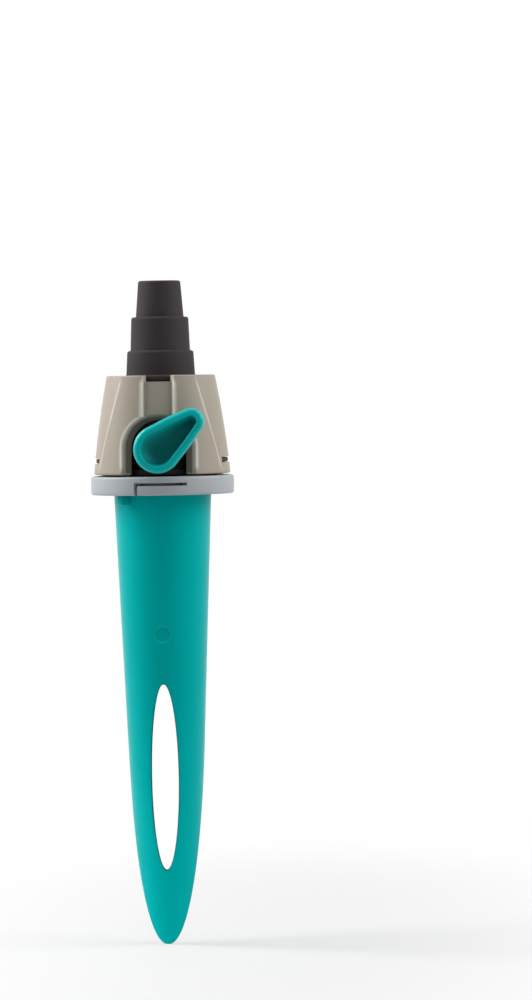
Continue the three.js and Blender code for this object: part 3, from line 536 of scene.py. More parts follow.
def ring_loop(azimuths, outside, edges):
    """Section of the ring at each azimuth: the outside corners, the floor and the collar, with the bore set
    back where the bayonet's lugs run above the ledge and where they come in from below."""
    low = np.full(len(azimuths), RING_BORE)
    high = low + BAYONET_STEP
    for locked in LUG_AZIMUTHS:
        start, end = locked - LOCK_REACH, locked + LOCK_TURN + LOCK_REACH
        entry = end - 2 * LOCK_REACH
        high = np.where((azimuths - start) % 360 <= end - start, GROOVE_RADIUS + BAYONET_STEP, high)
        low = np.where((azimuths - entry) % 360 <= end - entry, GROOVE_RADIUS, low)
    collar = [(RING_COLLAR, RING_FLOOR), (RING_COLLAR, RING_HEIGHT)]
    bore = [(high, RING_HEIGHT), (high, BAYONET_LEDGE), (low, BAYONET_LEDGE)]
    corners = [(low, 0.0), *outside, *collar, *bore]
    level = np.zeros(len(azimuths))
    corners = np.stack([np.stack([r + level, z + level], axis=-1) for r, z in corners], axis=1)
    radii = [RING_SMALL_EDGE, *edges, RING_SMALL_EDGE, RING_FINE_EDGE, RING_FINE_EDGE, 0, 0]
    return closed(rounded(corners, radii, steps=7))


def pot_clip():
    """Plate that hangs behind the ring: at each place across, a rounded strip of radius and height that
    ends on a half ellipse below, bent to the ring's curve and thinned by a quarter circle at its sides."""
    half = CLIP_WIDTH / 2
    across = half * np.sin(np.linspace(-90, 90, CLIP_SIDES) * DEG)
    low = CLIP_ROUND - CLIP_DROP - CLIP_ROUND * np.sqrt(1 - (across / half) ** 2)
    side = np.clip((half - np.abs(across)) / CLIP_SIDE_EDGE, 0, 1)
    thin = CLIP_WALL / 2 * np.maximum(np.sqrt(1 - (1 - side) ** 2), CLIP_THINNEST)
    middle = CLIP_OUTER - CLIP_WALL / 2
    inner, outer = middle - thin, middle + thin
    top = np.full_like(across, RING_FLOOR / 2)
    corners = np.stack([inner, low, outer, low, outer, top, inner, top], axis=-1).reshape(-1, 4, 2)
    edge = thin[:, None] * np.array([CLIP_LOW_EDGE, CLIP_LOW_EDGE, CLIP_TOP_EDGE, CLIP_TOP_EDGE])
    loops = closed(rounded(corners, edge, steps=7))
    radius = loops[..., 0]
    x = np.broadcast_to(across[:, None], radius.shape)
    return np.stack([x, np.sqrt(radius**2 - x**2), loops[..., 1]], axis=-1)


def soil_ring(material):
    """Soil ring: the full section carried round behind the click tongue; in front of it a bridge above the
    slit, the floor with the collar, and the tongue itself; then the hooks for the cover and the pot clip."""
    slit = np.degrees(TONGUE_SLIT / RING_RADIUS)
    groove_ends = np.array([-LOCK_REACH, LOCK_TURN - LOCK_REACH, LOCK_TURN + LOCK_REACH])
    beside = np.array([-GROOVE_STEP, GROOVE_STEP])
    sudden = (LUG_AZIMUTHS[:, None, None] + groove_ends[:, None] + beside).ravel()
    wall_inner = RING_RADIUS - RING_WALL

    def with_grooves(azimuths):
        """The azimuths, with those to either side of each end of a groove among them."""
        within = (sudden - azimuths[0]) % 360 + azimuths[0]
        return np.sort(np.concatenate([azimuths, within[within < azimuths[-1]]]))

    back = with_grooves(np.linspace(TONGUE_TO, TONGUE_FROM - slit + 360, RING_SIDES))
    front = with_grooves(np.linspace(TONGUE_FROM - slit, TONGUE_TO, TONGUE_SIDES))
    outside = [(RING_RADIUS, 0), (RING_RADIUS, RING_HEIGHT)]
    outside += [(wall_inner, RING_HEIGHT), (wall_inner, RING_FLOOR)]
    main = ring_loop(back, outside, [RING_EDGE, RING_EDGE, RING_INNER_EDGE, RING_INNER_EDGE])
    slit_top = TONGUE_HEIGHT + TONGUE_SLIT
    bridge = [(wall_inner, slit_top), (RING_RADIUS, slit_top)]
    bridge += [(RING_RADIUS, RING_HEIGHT), (wall_inner, RING_HEIGHT)]
    bridge_edges = [RING_FINE_EDGE, RING_SMALL_EDGE, RING_EDGE, RING_INNER_EDGE]
    floor_end = wall_inner - TONGUE_SLIT
    floor_outside = [(floor_end, 0), (floor_end, RING_FLOOR)]
    floor = ring_loop(front, floor_outside, [RING_FINE_EDGE, RING_FINE_EDGE])
    tongue = [(wall_inner, 0), (RING_RADIUS, 0), (RING_RADIUS, TONGUE_HEIGHT), (wall_inner, TONGUE_HEIGHT)]
    tongue_edges = [RING_FINE_EDGE, RING_EDGE, RING_SMALL_EDGE, RING_FINE_EDGE]
    grids = [
        round_z(main, back),
        round_z(closed(rounded(bridge, bridge_edges, steps=7)), front),
        round_z(floor, front),
        round_z(closed(rounded(tongue, tongue_edges, steps=7)), front[front >= TONGUE_FROM]),
        pot_clip(),
    ]
    # Painted shade on the floor behind the slit
    painted_light = [0, 0, SLIT_PAINTED_SHADE, 0, 0]
    tooth_half = WINDOW_HEIGHT / 2 - TOOTH_GAP
    tooth_low, tooth_top = WINDOW_MIDDLE - tooth_half, WINDOW_MIDDLE + tooth_half
    tooth_inner, tooth_outer = HOOK_OUTER - TOOTH_ROOT, HOOK_OUTER + HOOK_REACH
    for middle in (-90, 90):
        start, end = middle - HOOK_SPAN / 2, middle + HOOK_SPAN / 2
        hook = soft_sector(HOOK_INNER, HOOK_OUTER, start, end, RING_FLOOR / 2, tooth_top, HOOK_EDGE)
        tooth = soft_sector(tooth_inner, tooth_outer, start, end, tooth_low, tooth_top, TOOTH_EDGE)
        grids += hook + tooth
        # the teeth are painted dark all over, as shade in the windows of the cover
        painted_light += [0] * len(hook) + [1] * len(tooth)
    moulded(
        "soil_ring_moulding",
        grids,
        material,
        "head",
        "soil_ring",
        weld=RING_WELD,
        fill=True,
        painted_light=painted_light,
    )


def up_cover(z):
    """How far up the cover a height is, from 0 to 1."""
    return (z - COVER_BOTTOM) / (COVER_TOP - COVER_BOTTOM)


def cover_radius(z):
    """Outer radius of the cover between its panels: a straight taper with an even bulge in the middle."""
    up = up_cover(z)
    taper = COVER_BOTTOM_RADIUS + (COVER_TOP_RADIUS - COVER_BOTTOM_RADIUS) * up
    return taper + 4 * COVER_BULGE * up * (1 - up)


def arch(z, radius):
    """Half width of an arch round the tap at height z: straight below the tap axis, half a circle above."""
    up = np.maximum(z - TAP_Z, 0)
    return np.sqrt(np.maximum(radius**2 - up**2, 0))


def cover_columns(z, shrink):
    """The cover's columns at heights z, on a wall shrunk inwards: their azimuths, how far each is raised on
    the panel and sunk at the keyhole, how strong its painted highlight is, and the columns at the knots.
    They run from the middle or the keyhole's edge, up the bevel of the panel, across it, down its outer
    bevel, past the window, to the back."""
    radius = cover_radius(z) - shrink
    up = up_cover(z)
    opening = arch(z, KEYHOLE_START)
    pocket = arch(z, POCKET_RADIUS)
    half_channel = CHANNEL_WIDTH / 2
    steep = np.where(pocket > half_channel, np.maximum(z - TAP_Z, 0) / np.maximum(pocket, TINY), 0)
    foot = np.maximum(pocket, half_channel)
    brow = foot + PANEL_BEVEL * np.sqrt(1 + steep**2)
    outer = (PANEL_AZIMUTH_BOTTOM + (PANEL_AZIMUTH_TOP - PANEL_AZIMUTH_BOTTOM) * up) * DEG
    bevel = PANEL_BEVEL / radius
    full = np.ones_like(z)
    window = WINDOW_HALF_SPAN * DEG
    knots = np.stack(
        [
            np.arcsin(opening / radius),
            np.arcsin(foot / radius),
            np.arcsin(brow / radius),
            outer - bevel,
            outer,
            (math.pi / 2 - window) * full,
            (math.pi / 2 + window) * full,
            math.pi * full,
        ],
        axis=-1,
    )
    last = len(COVER_COLUMNS)
    where = np.concatenate([i + np.arange(n) / n for i, n in enumerate(COVER_COLUMNS)] + [[last]])
    low = np.minimum(where.astype(int), last - 1)
    part = where - low
    azimuth = knots[:, low] * (1 - part) + knots[:, low + 1] * part
    rise = np.interp(where, [1, 2, 3, 4], [0, 1, 1, 0])
    fall = np.interp(where, [0, 1], [1, 0])
    highlight = np.interp(where, HIGHLIGHT_PLACES, [0, INNER_HIGHLIGHT, INNER_HIGHLIGHT, 0, 0, OUTER_HIGHLIGHT, OUTER_HIGHLIGHT, 0])
    marks = np.cumsum([0] + COVER_COLUMNS)
    return azimuth, smooth(rise), fall, highlight, marks


def cover_rows():
    """Heights of the cover's rows: even below the tap axis with rows on the window's edges, along the round
    of the keyhole, and up to the rim with a row on the deck's top; and the number of rows that have the
    keyhole between them."""
    edge = COVER_BOTTOM + COVER_EDGE
    window = WINDOW_MIDDLE + np.array([-1, 0, 1]) * WINDOW_HEIGHT / 2
    below = np.linspace(edge, window[0], COVER_ROWS["sill"])[:-1]
    above = np.linspace(window[2], TAP_Z, COVER_ROWS["sill"])[1:]
    turn = np.linspace(0, 90, COVER_ROWS["arch"])[1:] * DEG
    round_part = TAP_Z + KEYHOLE_START * np.sin(turn)
    brow = np.linspace(round_part[-1], DECK_TOP, COVER_ROWS["brow"])[1:]
    rim = np.linspace(DECK_TOP, COVER_TOP - COVER_EDGE, COVER_ROWS["rim"])[1:]
    keyhole = np.concatenate([below, window, above, round_part])
    return np.concatenate([keyhole, brow, rim]), len(keyhole)


def head_cover(material):
    """Bell-shaped cover: outer wall with raised panels, inner wall, rolled lower edge, rolled keyhole edge,
    rim with the notch of the channel, deck, and the walls of the two windows, all mirrored."""
    z, arch_rows = cover_rows()
    azimuth, rise, fall, highlight, marks = cover_columns(z, 0)
    up = up_cover(z)[:, None]
    raise_by = PANEL_RAISE_BOTTOM + (PANEL_RAISE_TOP - PANEL_RAISE_BOTTOM) * up
    ledge = smooth((TAP_Z + KEYHOLE_START + LEDGE_FADE - z) / LEDGE_FADE)[:, None]
    radius = cover_radius(z)[:, None] + raise_by * rise - LEDGE_SINK * ledge * fall

    def placed(reach, turn, height):
        """Points at their distances from Z, azimuths and heights."""
        height = np.broadcast_to(height, turn.shape)
        return np.stack([reach * np.sin(turn), -reach * np.cos(turn), height], axis=-1)

    def row_at(height):
        """The row nearest to a height."""
        return int(np.argmin(np.abs(z - height)))

    outer = placed(radius, azimuth, z[:, None])
    # Painted shade on the ledge round the keyhole, less a painted highlight on the bevels of the panels that
    # fades out at both ends
    ends = smooth(np.minimum(z - z[0], z[-1] - z) / HIGHLIGHT_FADE)[:, None]
    tone = LEDGE_PAINTED_SHADE * ledge * np.minimum(LEDGE_SPREAD * fall, 1) - highlight * ends
    inner_count = int((z < DECK_BOTTOM).sum()) + 1
    inner_z = np.minimum(z, DECK_BOTTOM)[:inner_count]
    inner_azimuth = cover_columns(inner_z, COVER_WALL)[0]
    inner = placed((cover_radius(inner_z) - COVER_WALL)[:, None], inner_azimuth, inner_z[:, None])
    lower_brink = (outer[0] + inner[0]) / 2 + np.array([0, 0, -COVER_EDGE])
    lower_edge = roll(outer[0], inner[0], lower_brink)
    keyhole_brink = (outer[:arch_rows, 0] + inner[:arch_rows, 0]) / 2
    tight = KEYHOLE_RADIUS / KEYHOLE_START
    keyhole_brink[:, 0] *= tight
    above = keyhole_brink[:, 2] > TAP_Z
    keyhole_brink[above, 2] = TAP_Z + (keyhole_brink[above, 2] - TAP_Z) * tight
    keyhole_edge = roll(outer[:arch_rows, 0], inner[:arch_rows, 0], keyhole_brink, square=HOLE_SQUARE)

    quarter = np.linspace(0, 90, COVER_ROWS["round"])[1:] * DEG
    top_a = azimuth[-1]
    rim_r = radius[-1] - COVER_EDGE * (1 - np.cos(quarter))[:, None]
    rim_z = (COVER_TOP - COVER_EDGE + COVER_EDGE * np.sin(quarter))[:, None]
    steps_r = np.array([RIM_INNER + RIM_BEVEL, RIM_INNER, RIM_INNER, DECK_BORE, DECK_BORE])[:, None]
    steps_z = np.array([COVER_TOP, COVER_TOP - RIM_BEVEL, DECK_TOP, DECK_TOP, DECK_BOTTOM])[:, None]
    rim_r = np.concatenate([radius[-1:], rim_r, np.broadcast_to(steps_r, (len(steps_r), len(top_a)))])
    rim_z = np.concatenate([[[COVER_TOP - COVER_EDGE]], rim_z, steps_z])
    rim = placed(rim_r, np.broadcast_to(top_a, rim_r.shape), rim_z)
    wall_foot = -3  # row of the rim where its inner wall meets the deck
    ceiling = np.stack([rim[-1], inner[-1]])

    deck_row = row_at(DECK_TOP)
    foot = marks[1]
    left, right = marks[5:7]
    sill = row_at(WINDOW_MIDDLE - WINDOW_HEIGHT / 2)
    lintel = row_at(WINDOW_MIDDLE + WINDOW_HEIGHT / 2)
    window_rows, window_cols = slice(sill, lintel + 1), slice(left, right + 1)
    notch_floor = np.stack([outer[deck_row, : foot + 1], rim[wall_foot, : foot + 1]])
    notch_outer = np.concatenate([outer[deck_row:, foot], rim[1 : wall_foot - 1, foot]])
    notch_inner = np.repeat(rim[wall_foot, foot][None], len(notch_outer), axis=0)
    notch_inner[-1] = rim[wall_foot - 1, foot]
    notch_side = np.stack([notch_outer, notch_inner])
    keyhole_corner = np.stack([lower_edge[0], keyhole_edge[0]])

    def round_window(sheet):
        """The sheet in four pieces round the window."""
        sides = sheet[window_rows]
        return [sheet[: sill + 1], sheet[lintel:], sides[:, : left + 1], sides[:, right:]]

    def across(row, col):
        """Strip through the wall along an edge of the window."""
        return np.stack([outer[row, col], inner[row, col]])

    inner_sheets = round_window(inner)
    grids = [
        *round_window(outer[: deck_row + 1]),
        outer[deck_row:, foot:],
        *inner_sheets,
        lower_edge,
        keyhole_edge,
        rim[: wall_foot + 1, foot:],
        rim[wall_foot:],
        ceiling,
        notch_floor,
        notch_side,
        keyhole_corner,
        across(sill, window_cols),
        across(lintel, window_cols),
        across(window_rows, left),
        across(window_rows, right),
    ]
    # the keyhole's rolled edge takes the ledge's painted shade
    painted_light = [*round_window(tone[: deck_row + 1]), tone[deck_row:, foot:]]
    painted_light += [0] * len(inner_sheets) + [0, LEDGE_PAINTED_SHADE]
    painted_light += [0] * (len(grids) - len(painted_light))
    moulded(
        "head_cover_bell", mirrored(grids), material, "head", "head_cover", painted_light=painted_light * 2
    )


def shield_plate(bottom, top):
    """Curved plate behind the keyhole with a round hole for the barrel: at each angle round the tap axis a
    strip runs from the hole to the plate's edge, round it by half an ellipse and back on the inner face;
    the strips lie on a flat rectangle that is then rolled onto the shield's radius."""
    half = SHIELD_SPAN / 2 * DEG * SHIELD_RADIUS
    up, down = top - TAP_Z, TAP_Z - bottom
    corners = np.arctan2([up, up, -down, -down], [half, -half, -half, half]) % (2 * math.pi)
    even = np.linspace(0, 2 * math.pi, SHIELD_SIDES + 1)
    angle = np.sort(np.concatenate([even, corners]))[:, None]
    cosine, sine = np.cos(angle), np.sin(angle)
    level = np.where(sine > 0, up, down) / np.maximum(np.abs(sine), TINY)
    far = np.minimum(half / np.maximum(np.abs(cosine), TINY), level) - SHIELD_EDGE
    face = BARREL_MIDDLE + (far - BARREL_MIDDLE) * np.linspace(0, 1, SHIELD_STEPS)
    turn = np.linspace(90, -90, SHIELD_EDGE_STEPS)[1:-1] * DEG
    reach = np.concatenate([face, far + SHIELD_EDGE * np.cos(turn), face[:, ::-1], face[:, :1]], axis=1)
    inner, wall = SHIELD_RADIUS - SHIELD_WALL, SHIELD_WALL / 2
    outside, inside = np.full(SHIELD_STEPS, SHIELD_RADIUS), np.full(SHIELD_STEPS, inner)
    radius = np.concatenate([outside, inner + wall * (1 + np.sin(turn)), inside, outside[:1]])
    bend = reach * cosine / SHIELD_RADIUS
    return np.stack([radius * np.sin(bend), -radius * np.cos(bend), TAP_Z + reach * sine], axis=-1)


def valve_body(material):
    """Valve body: base disc with the nozzle boss and the barrel of the tap, each a rounded section carried
    round its own axis; the column above and below the barrel, whose ends follow the middle of the barrel's
    wall as on a saddle: height = sqrt(r^2 - x^2); then the shield."""
    base_bottom = valve_low[2] + BOSS_DROP
    base_top = base_bottom + BASE_THICKNESS
    base_radius = valve_high[0]
    socket_top = valve_low[2] + NOZZLE_SOCKET_DEPTH
    base = [
        (OUTLET_RADIUS, base_top),
        (OUTLET_RADIUS, socket_top),
        (NOZZLE_SOCKET, socket_top),
        (NOZZLE_SOCKET, valve_low[2]),
        (BOSS_RADIUS, valve_low[2]),
        (BOSS_RADIUS, base_bottom),
        (base_radius, base_bottom),
        (base_radius, base_top),
    ]
    barrel = [
        (BARREL_BORE, -BARREL_BACK),
        (BARREL_RADIUS, -BARREL_BACK),
        (BARREL_RADIUS, -valve_low[1]),
        (BARREL_BORE, -valve_low[1]),
    ]
    azimuths = np.linspace(0, 360, COLUMN_SIDES + 1)

    def saddle(radius):
        """Height of the barrel's middle wall above the tap axis, along a circle round Z."""
        across = radius * np.sin(azimuths * DEG)
        rise = BARREL_MIDDLE**2 - across**2
        return np.sqrt(np.maximum(rise, SADDLE_LEAST**2))

    def column(bottoms, tops):
        """Tube round Z between two pairs of inner and outer heights."""
        inner, outer = COLUMN_BORE + 0 * azimuths, COLUMN_RADIUS + 0 * azimuths
        corners = [inner, bottoms[0], outer, bottoms[1], outer, tops[1], inner, tops[0]]
        loops = np.stack(np.broadcast_arrays(*corners), axis=-1).reshape(-1, 4, 2)
        return round_z(closed(rounded(loops, COLUMN_EDGE, steps=4)), azimuths)

    rise = saddle(COLUMN_BORE), saddle(COLUMN_RADIUS)
    grids = [
        turned(rounded(base, BASE_EDGES)),
        turned_on_tap(rounded(barrel, BARREL_EDGE)),
        column([TAP_Z + r for r in rise], [valve_high[2]] * 2),
        column([base_top] * 2, [TAP_Z - r for r in rise]),
        shield_plate(base_top - SHIELD_ROOT, valve_high[2]),
    ]
    moulded("valve_body_moulding", grids, material, "head", "valve_body")


def bottle_adapter(material):
    """Stepped rubber plug: one closed section of a base flange, three tapered steps with round shoulders
    and the stepped bore, carried round Z."""
    base_top = COVER_TOP
    tops = base_top + np.cumsum(ADAPTER_STEP_HEIGHTS)
    bottoms = np.concatenate([[base_top], tops[:-1]])
    steps = np.stack([ADAPTER_STEP_BOTTOMS, bottoms, ADAPTER_STEP_TOPS, tops], axis=-1).reshape(-1, 2)
    neck_top = spigot_high[2] + ADAPTER_NECK_ROOM
    recess_top = adapter_low[2] + ADAPTER_RECESS_DEPTH
    corners = np.concatenate(
        [
            [[ADAPTER_RECESS, adapter_low[2]], [ADAPTER_BASE_RADIUS, adapter_low[2]]],
            [[ADAPTER_BASE_RADIUS, base_top]],
            steps,
            [[ADAPTER_MOUTH, tops[-1]], [ADAPTER_MOUTH, neck_top], [ADAPTER_GRIP, neck_top]],
            [[ADAPTER_GRIP, recess_top], [ADAPTER_RECESS, recess_top]],
        ]
    )
    edges = [ADAPTER_BORE_EDGE, ADAPTER_FOOT_EDGE, ADAPTER_FLANGE_EDGE]
    edges += [ADAPTER_STEP_ROOT, ADAPTER_EDGE] * len(tops)
    edges += [ADAPTER_MOUTH_EDGE] + [ADAPTER_BORE_EDGE] * 4
    grids = [turned(rounded(corners, edges, steps=9))]
    moulded("bottle_adapter_plug", grids, material, "head", "bottle_adapter")


def drip_nozzle(material):
    """Nozzle: one closed section of shank, flange and tapered tip with a fine bore, carried round Z."""
    flange_bottom = nozzle_low[2] + NOZZLE_TIP_LENGTH
    flange_top = flange_bottom + NOZZLE_FLANGE_THICKNESS
    corners = [
        (NOZZLE_BORE, nozzle_low[2]),
        (NOZZLE_TIP_RADIUS, nozzle_low[2]),
        (NOZZLE_SHANK, flange_bottom),
        (NOZZLE_FLANGE, flange_bottom),
        (NOZZLE_FLANGE, flange_top),
        (NOZZLE_SHANK, flange_top),
        (NOZZLE_SHANK, nozzle_high[2]),
        (NOZZLE_BORE, nozzle_high[2]),
    ]
    grids = [turned(rounded(corners, NOZZLE_EDGES, steps=5), NOZZLE_SIDES)]
    moulded("drip_nozzle_turned", grids, material, "head", "drip_nozzle")


def thrust_washer(material):
    """Flat ring between barrel and knob: a rounded rectangle carried round the tap axis."""
    back, front = -washer_high[1], -washer_low[1]
    outer = washer_high[0]
    corners = [(BARREL_BORE, back), (outer, back), (outer, front), (BARREL_BORE, front)]
    grids = [turned_on_tap(rounded(corners, WASHER_EDGE, steps=5), WASHER_SIDES)]
    moulded("thrust_washer_ring", grids, material, "head", "thrust_washer")


def drop_rows(round_radius, tip_radius, ahead, shift):
    """Drop-shaped outlines round the tap axis: a large arc round the axis and a small arc round the tip,
    joined by sides that swell a little, one row for each set of round radius, tip radius, distance ahead
    and shift to the lower side of the lever."""
    large, small = round_radius[:, None], tip_radius[:, None]
    meet = np.arccos((large - small) / KNOB_REACH)
    round_turn = meet + (2 * math.pi - 2 * meet) * np.linspace(0, 1, DROP_STEPS["round"])
    tip_turn = -meet + 2 * meet * np.linspace(0, 1, DROP_STEPS["tip"])
    part = np.linspace(0, 1, DROP_STEPS["side"])[1:-1]
    swell = KNOB_SIDE_BULGE * np.sin(math.pi * part) ** 2 * np.minimum(small / KNOB_TIP, 1)
    width = large + (small - large) * part + swell
    along, aside = KNOB_REACH * part + width * np.cos(meet), width * np.sin(meet)
    lower = np.stack([along, -aside], axis=-1)
    upper = np.stack([along, aside], axis=-1)[:, ::-1]
    round_arc = np.stack([large * np.cos(round_turn), large * np.sin(round_turn)], axis=-1)
    tip_arc = np.stack([KNOB_REACH + small * np.cos(tip_turn), small * np.sin(tip_turn)], axis=-1)
    outline = closed(np.concatenate([round_arc, lower, tip_arc, upper], axis=1))
    along, aside = outline[..., 0], outline[..., 1] - shift[:, None]
    cosine, sine = math.cos(LEVER_REST * DEG), math.sin(LEVER_REST * DEG)
    y = np.broadcast_to(-ahead[:, None], along.shape)
    return np.stack([along * cosine - aside * sine, y, TAP_Z + along * sine + aside * cosine], axis=-1)


def tap_knob(material):
    """Knob: drop-shaped outlines stacked from the middle of the back, round the back edge, up the side, over
    the round front edge and the rim, and down into a dish whose depth is one minus a power of the distance
    from its middle line, with its floor shifted to the lower side of the lever; then the hub behind it."""
    cup_back = HUB_BACK + HUB_LENGTH
    quarter = np.linspace(0, 90, KNOB_ROWS["edge"]) * DEG
    grow = np.linspace(0, 1, KNOB_ROWS["edge"])[:-1]
    back_inset = KNOB_BACK_EDGE * (1 - np.sin(quarter))
    back_ahead = cup_back + KNOB_BACK_EDGE * (1 - np.cos(quarter))
    front_inset = KNOB_FRONT_EDGE * (1 - np.cos(quarter))
    front_ahead = KNOB_FACE - KNOB_FRONT_EDGE * (1 - np.sin(quarter))
    lip = np.linspace(0, KNOB_LIP_TURN, KNOB_ROWS["lip"]) * DEG
    lip_inset = KNOB_RIM - KNOB_INNER_EDGE + KNOB_INNER_EDGE * np.sin(lip)
    lip_ahead = KNOB_FACE - KNOB_INNER_EDGE * (1 - np.cos(lip))
    inset = np.concatenate([back_inset, front_inset, lip_inset])
    shrink = 1 - np.linspace(0, 1, KNOB_ROWS["dish"])[1:] ** DISH_CROWDING
    sunk = KNOB_FACE - lip_ahead[-1]
    depth = 1 - shrink**DISH_STEEPNESS
    dish_ahead = lip_ahead[-1] - (DISH_DEPTH - sunk) * depth
    back = np.full(len(grow), cup_back)
    ahead = np.concatenate([back, back_ahead, front_ahead, lip_ahead, dish_ahead])
    deep = np.concatenate([np.zeros(len(grow) + len(inset)), depth])

    def radii(full):
        """Radius of every row of an arc, from its full radius."""
        return np.concatenate([(full - KNOB_BACK_EDGE) * grow, full - inset, (full - inset[-1]) * shrink])

    cup = drop_rows(radii(KNOB_ROUND), radii(KNOB_TIP), ahead, DISH_LEAN * deep)
    hub_front = cup_back + HUB_ROOT
    hub = [(HUB_BORE, HUB_BACK), (HUB_RADIUS, HUB_BACK), (HUB_RADIUS, hub_front), (HUB_BORE, hub_front)]
    collar = turned_on_tap(rounded(hub, [0, HUB_EDGE, 0, 0], steps=5), HUB_SIDES)
    # painted shade in the dish, darker towards its floor
    painted_light = [deep[:, None] ** DISH_PAINTED_SHADE_SPREAD, 0]
    moulded("tap_knob_lever", [cup, collar], material, "tap", "tap_knob", painted_light=painted_light)


# Finishes
WHITE = (1, 1, 1, 1)
HOLLOW_DULLING = 0.3  # how much rougher the surface gets where the painted shade is full
ROUGH_CHANGE = 0.05  # how far the roughness changes either way
DRIFT_NOISE = 45, 3  # scale and detail of the slow drift of colour
ROUGH_NOISE = 160, 4
GRAIN_NOISE = 2600, 3


def linear(red, green, blue):
    """A colour given in display values, as the shader's linear ones, by the standard sRGB curve."""
    shown = np.array([red, green, blue]) / 255
    value = np.where(shown <= 0.04045, shown / 12.92, ((shown + 0.055) / 1.055) ** 2.4)
    return (*value, 1)


def added(nodes, kind, values=None, **settings):
    """A new node of a shader, with its settings and the values of some of its inputs."""
    made = nodes.new("ShaderNode" + kind)
    for name, setting in settings.items():
        setattr(made, name, setting)
    for socket, value in (values or {}).items():
        made.inputs[socket].default_value = value
    return made


def finish_of(
    name,
    colour,
    roughness,
    grain=0.012,
    tone=0.05,
    metallic=0.0,
    gloss=0.3,
    tint=WHITE,
    painted_light=None,
    painted_highlight=None,
):
    """Moulded finish: its colour drifts slowly by a few per cent, its roughness varies in soft patches, and
    a fine grain lifts the surface by hundredths of a millimetre. Where the mesh's painted light reaches 1 the
    colour turns to that of the painted shade, and where it reaches -1 to that of the painted highlight."""
    material = bpy.data.materials.new(name)
    material.use_nodes = True
    nodes, links = material.node_tree.nodes, material.node_tree.links
    shader = nodes["Principled BSDF"]
    shader.inputs["Metallic"].default_value = metallic
    shader.inputs["Specular IOR Level"].default_value = gloss
    shader.inputs["Specular Tint"].default_value = tint
    place = added(nodes, "TexCoord")

    def noise(scale, detail):
        """Soft noise in the piece's own space."""
        made = added(nodes, "TexNoise", {"Scale": scale, "Detail": detail})
        links.new(place.outputs["Object"], made.inputs["Vector"])
        return made.outputs["Fac"]

    plain = np.array(colour[:3])
    ends = {"A": (*(plain * (1 - tone)), 1), "B": (*np.minimum(plain * (1 + tone), 1), 1)}
    drift = added(nodes, "Mix", ends, data_type="RGBA")
    links.new(noise(*DRIFT_NOISE), drift.inputs["Factor"])
    shade = drift.outputs["Result"]
    # painted shade and painted highlight, from the mesh's painted-light attribute
    for other, end in ((painted_light, 1), (painted_highlight, -1)):
        if not other:
            continue
        depth = added(nodes, "Attribute", attribute_name="painted_light")
        amount = added(nodes, "MapRange", {"From Max": end})
        blend = added(nodes, "Mix", {"B": other}, data_type="RGBA")
        links.new(depth.outputs["Fac"], amount.inputs["Value"])
        links.new(amount.outputs["Result"], blend.inputs["Factor"])
        links.new(shade, blend.inputs["A"])
        shade = blend.outputs["Result"]
    links.new(shade, shader.inputs["Base Color"])
    ends = {"To Min": roughness - ROUGH_CHANGE, "To Max": roughness + ROUGH_CHANGE}
    patches = added(nodes, "MapRange", ends)
    links.new(noise(*ROUGH_NOISE), patches.inputs["Value"])
    rough = patches.outputs["Result"]
    if painted_light:
        dull = added(nodes, "Math", {1: HOLLOW_DULLING}, operation="MULTIPLY_ADD")
        links.new(depth.outputs["Fac"], dull.inputs[0])
        links.new(rough, dull.inputs[2])
        rough = dull.outputs[0]
    links.new(rough, shader.inputs["Roughness"])
    bump = added(nodes, "Bump", {"Strength": 1, "Distance": grain * MM})
    links.new(noise(*GRAIN_NOISE), bump.inputs["Height"])
    links.new(bump.outputs["Normal"], shader.inputs["Normal"])
    return material


def dress(node, material):
    """Gives a solid that stays in view its finish."""
    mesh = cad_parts[node].data
    mesh.materials.clear()
    mesh.materials.append(material)


TEAL = linear(0, 166, 165)
TEAL_GLOSS = (0, 1, 1, 1)  # the gloss of the teal plastic keeps its colour
LEVER_GLOSS = (0.15, 1, 1, 1)
# The teal's dark colour is painted shade on the walls of the slot, its pale one a painted highlight on the
# dimple
teal = finish_of(
    "satin teal",
    TEAL,
    0.3,
    grain=0.016,
    gloss=0.1,
    tint=TEAL_GLOSS,
    painted_light=linear(0, 70, 70),
    painted_highlight=linear(30, 196, 196),
)
# The lever's dark colour is painted shade in the dish
lever_teal = finish_of(
    "lever teal", TEAL, 0.23, grain=0.006, gloss=0.4, tint=LEVER_GLOSS, painted_light=linear(0, 78, 78)
)
# The taupe's dark colour is painted shade on the ledge, its pale one a painted highlight on the panel bevels
TAUPE = linear(159, 150, 137)
taupe = finish_of(
    "satin taupe", TAUPE, 0.42, gloss=0.2, painted_light=linear(58, 52, 46), painted_highlight=linear(236, 229, 218)
)
# The grey's dark colour is painted shade behind the slit and on the teeth
grey = finish_of("satin grey", linear(164, 168, 172), 0.45, painted_light=linear(46, 43, 41))
# Partly painted shade: the valve body is charcoal, darker than its grey plastic, so the recess round the knob
# looks dark
charcoal = finish_of("matt charcoal", linear(38, 36, 36), 0.5, gloss=0.15)
rubber = finish_of("matt rubber", linear(58, 53, 55), 0.7, grain=0.02, tone=0.1, gloss=0.1)
natural = finish_of("natural nylon", linear(214, 213, 207), 0.4)
steel = finish_of("bright steel", linear(186, 188, 190), 0.3, metallic=1.0)

# Pieces
spike(teal)
soil_ring(grey)
head_cover(taupe)
valve_body(charcoal)
bottle_adapter(rubber)
drip_nozzle(natural)
thrust_washer(natural)
tap_knob(lever_teal)
for node, material in [
    ("inlet_spigot", charcoal),
    ("spigot_seal", rubber),
    ("inlet_strainer", natural),
    ("tap_spindle", natural),
    ("spindle_seal_front", rubber),
    ("spindle_seal_rear", rubber),
    ("spindle_clip", steel),
]:
    dress(node, material)

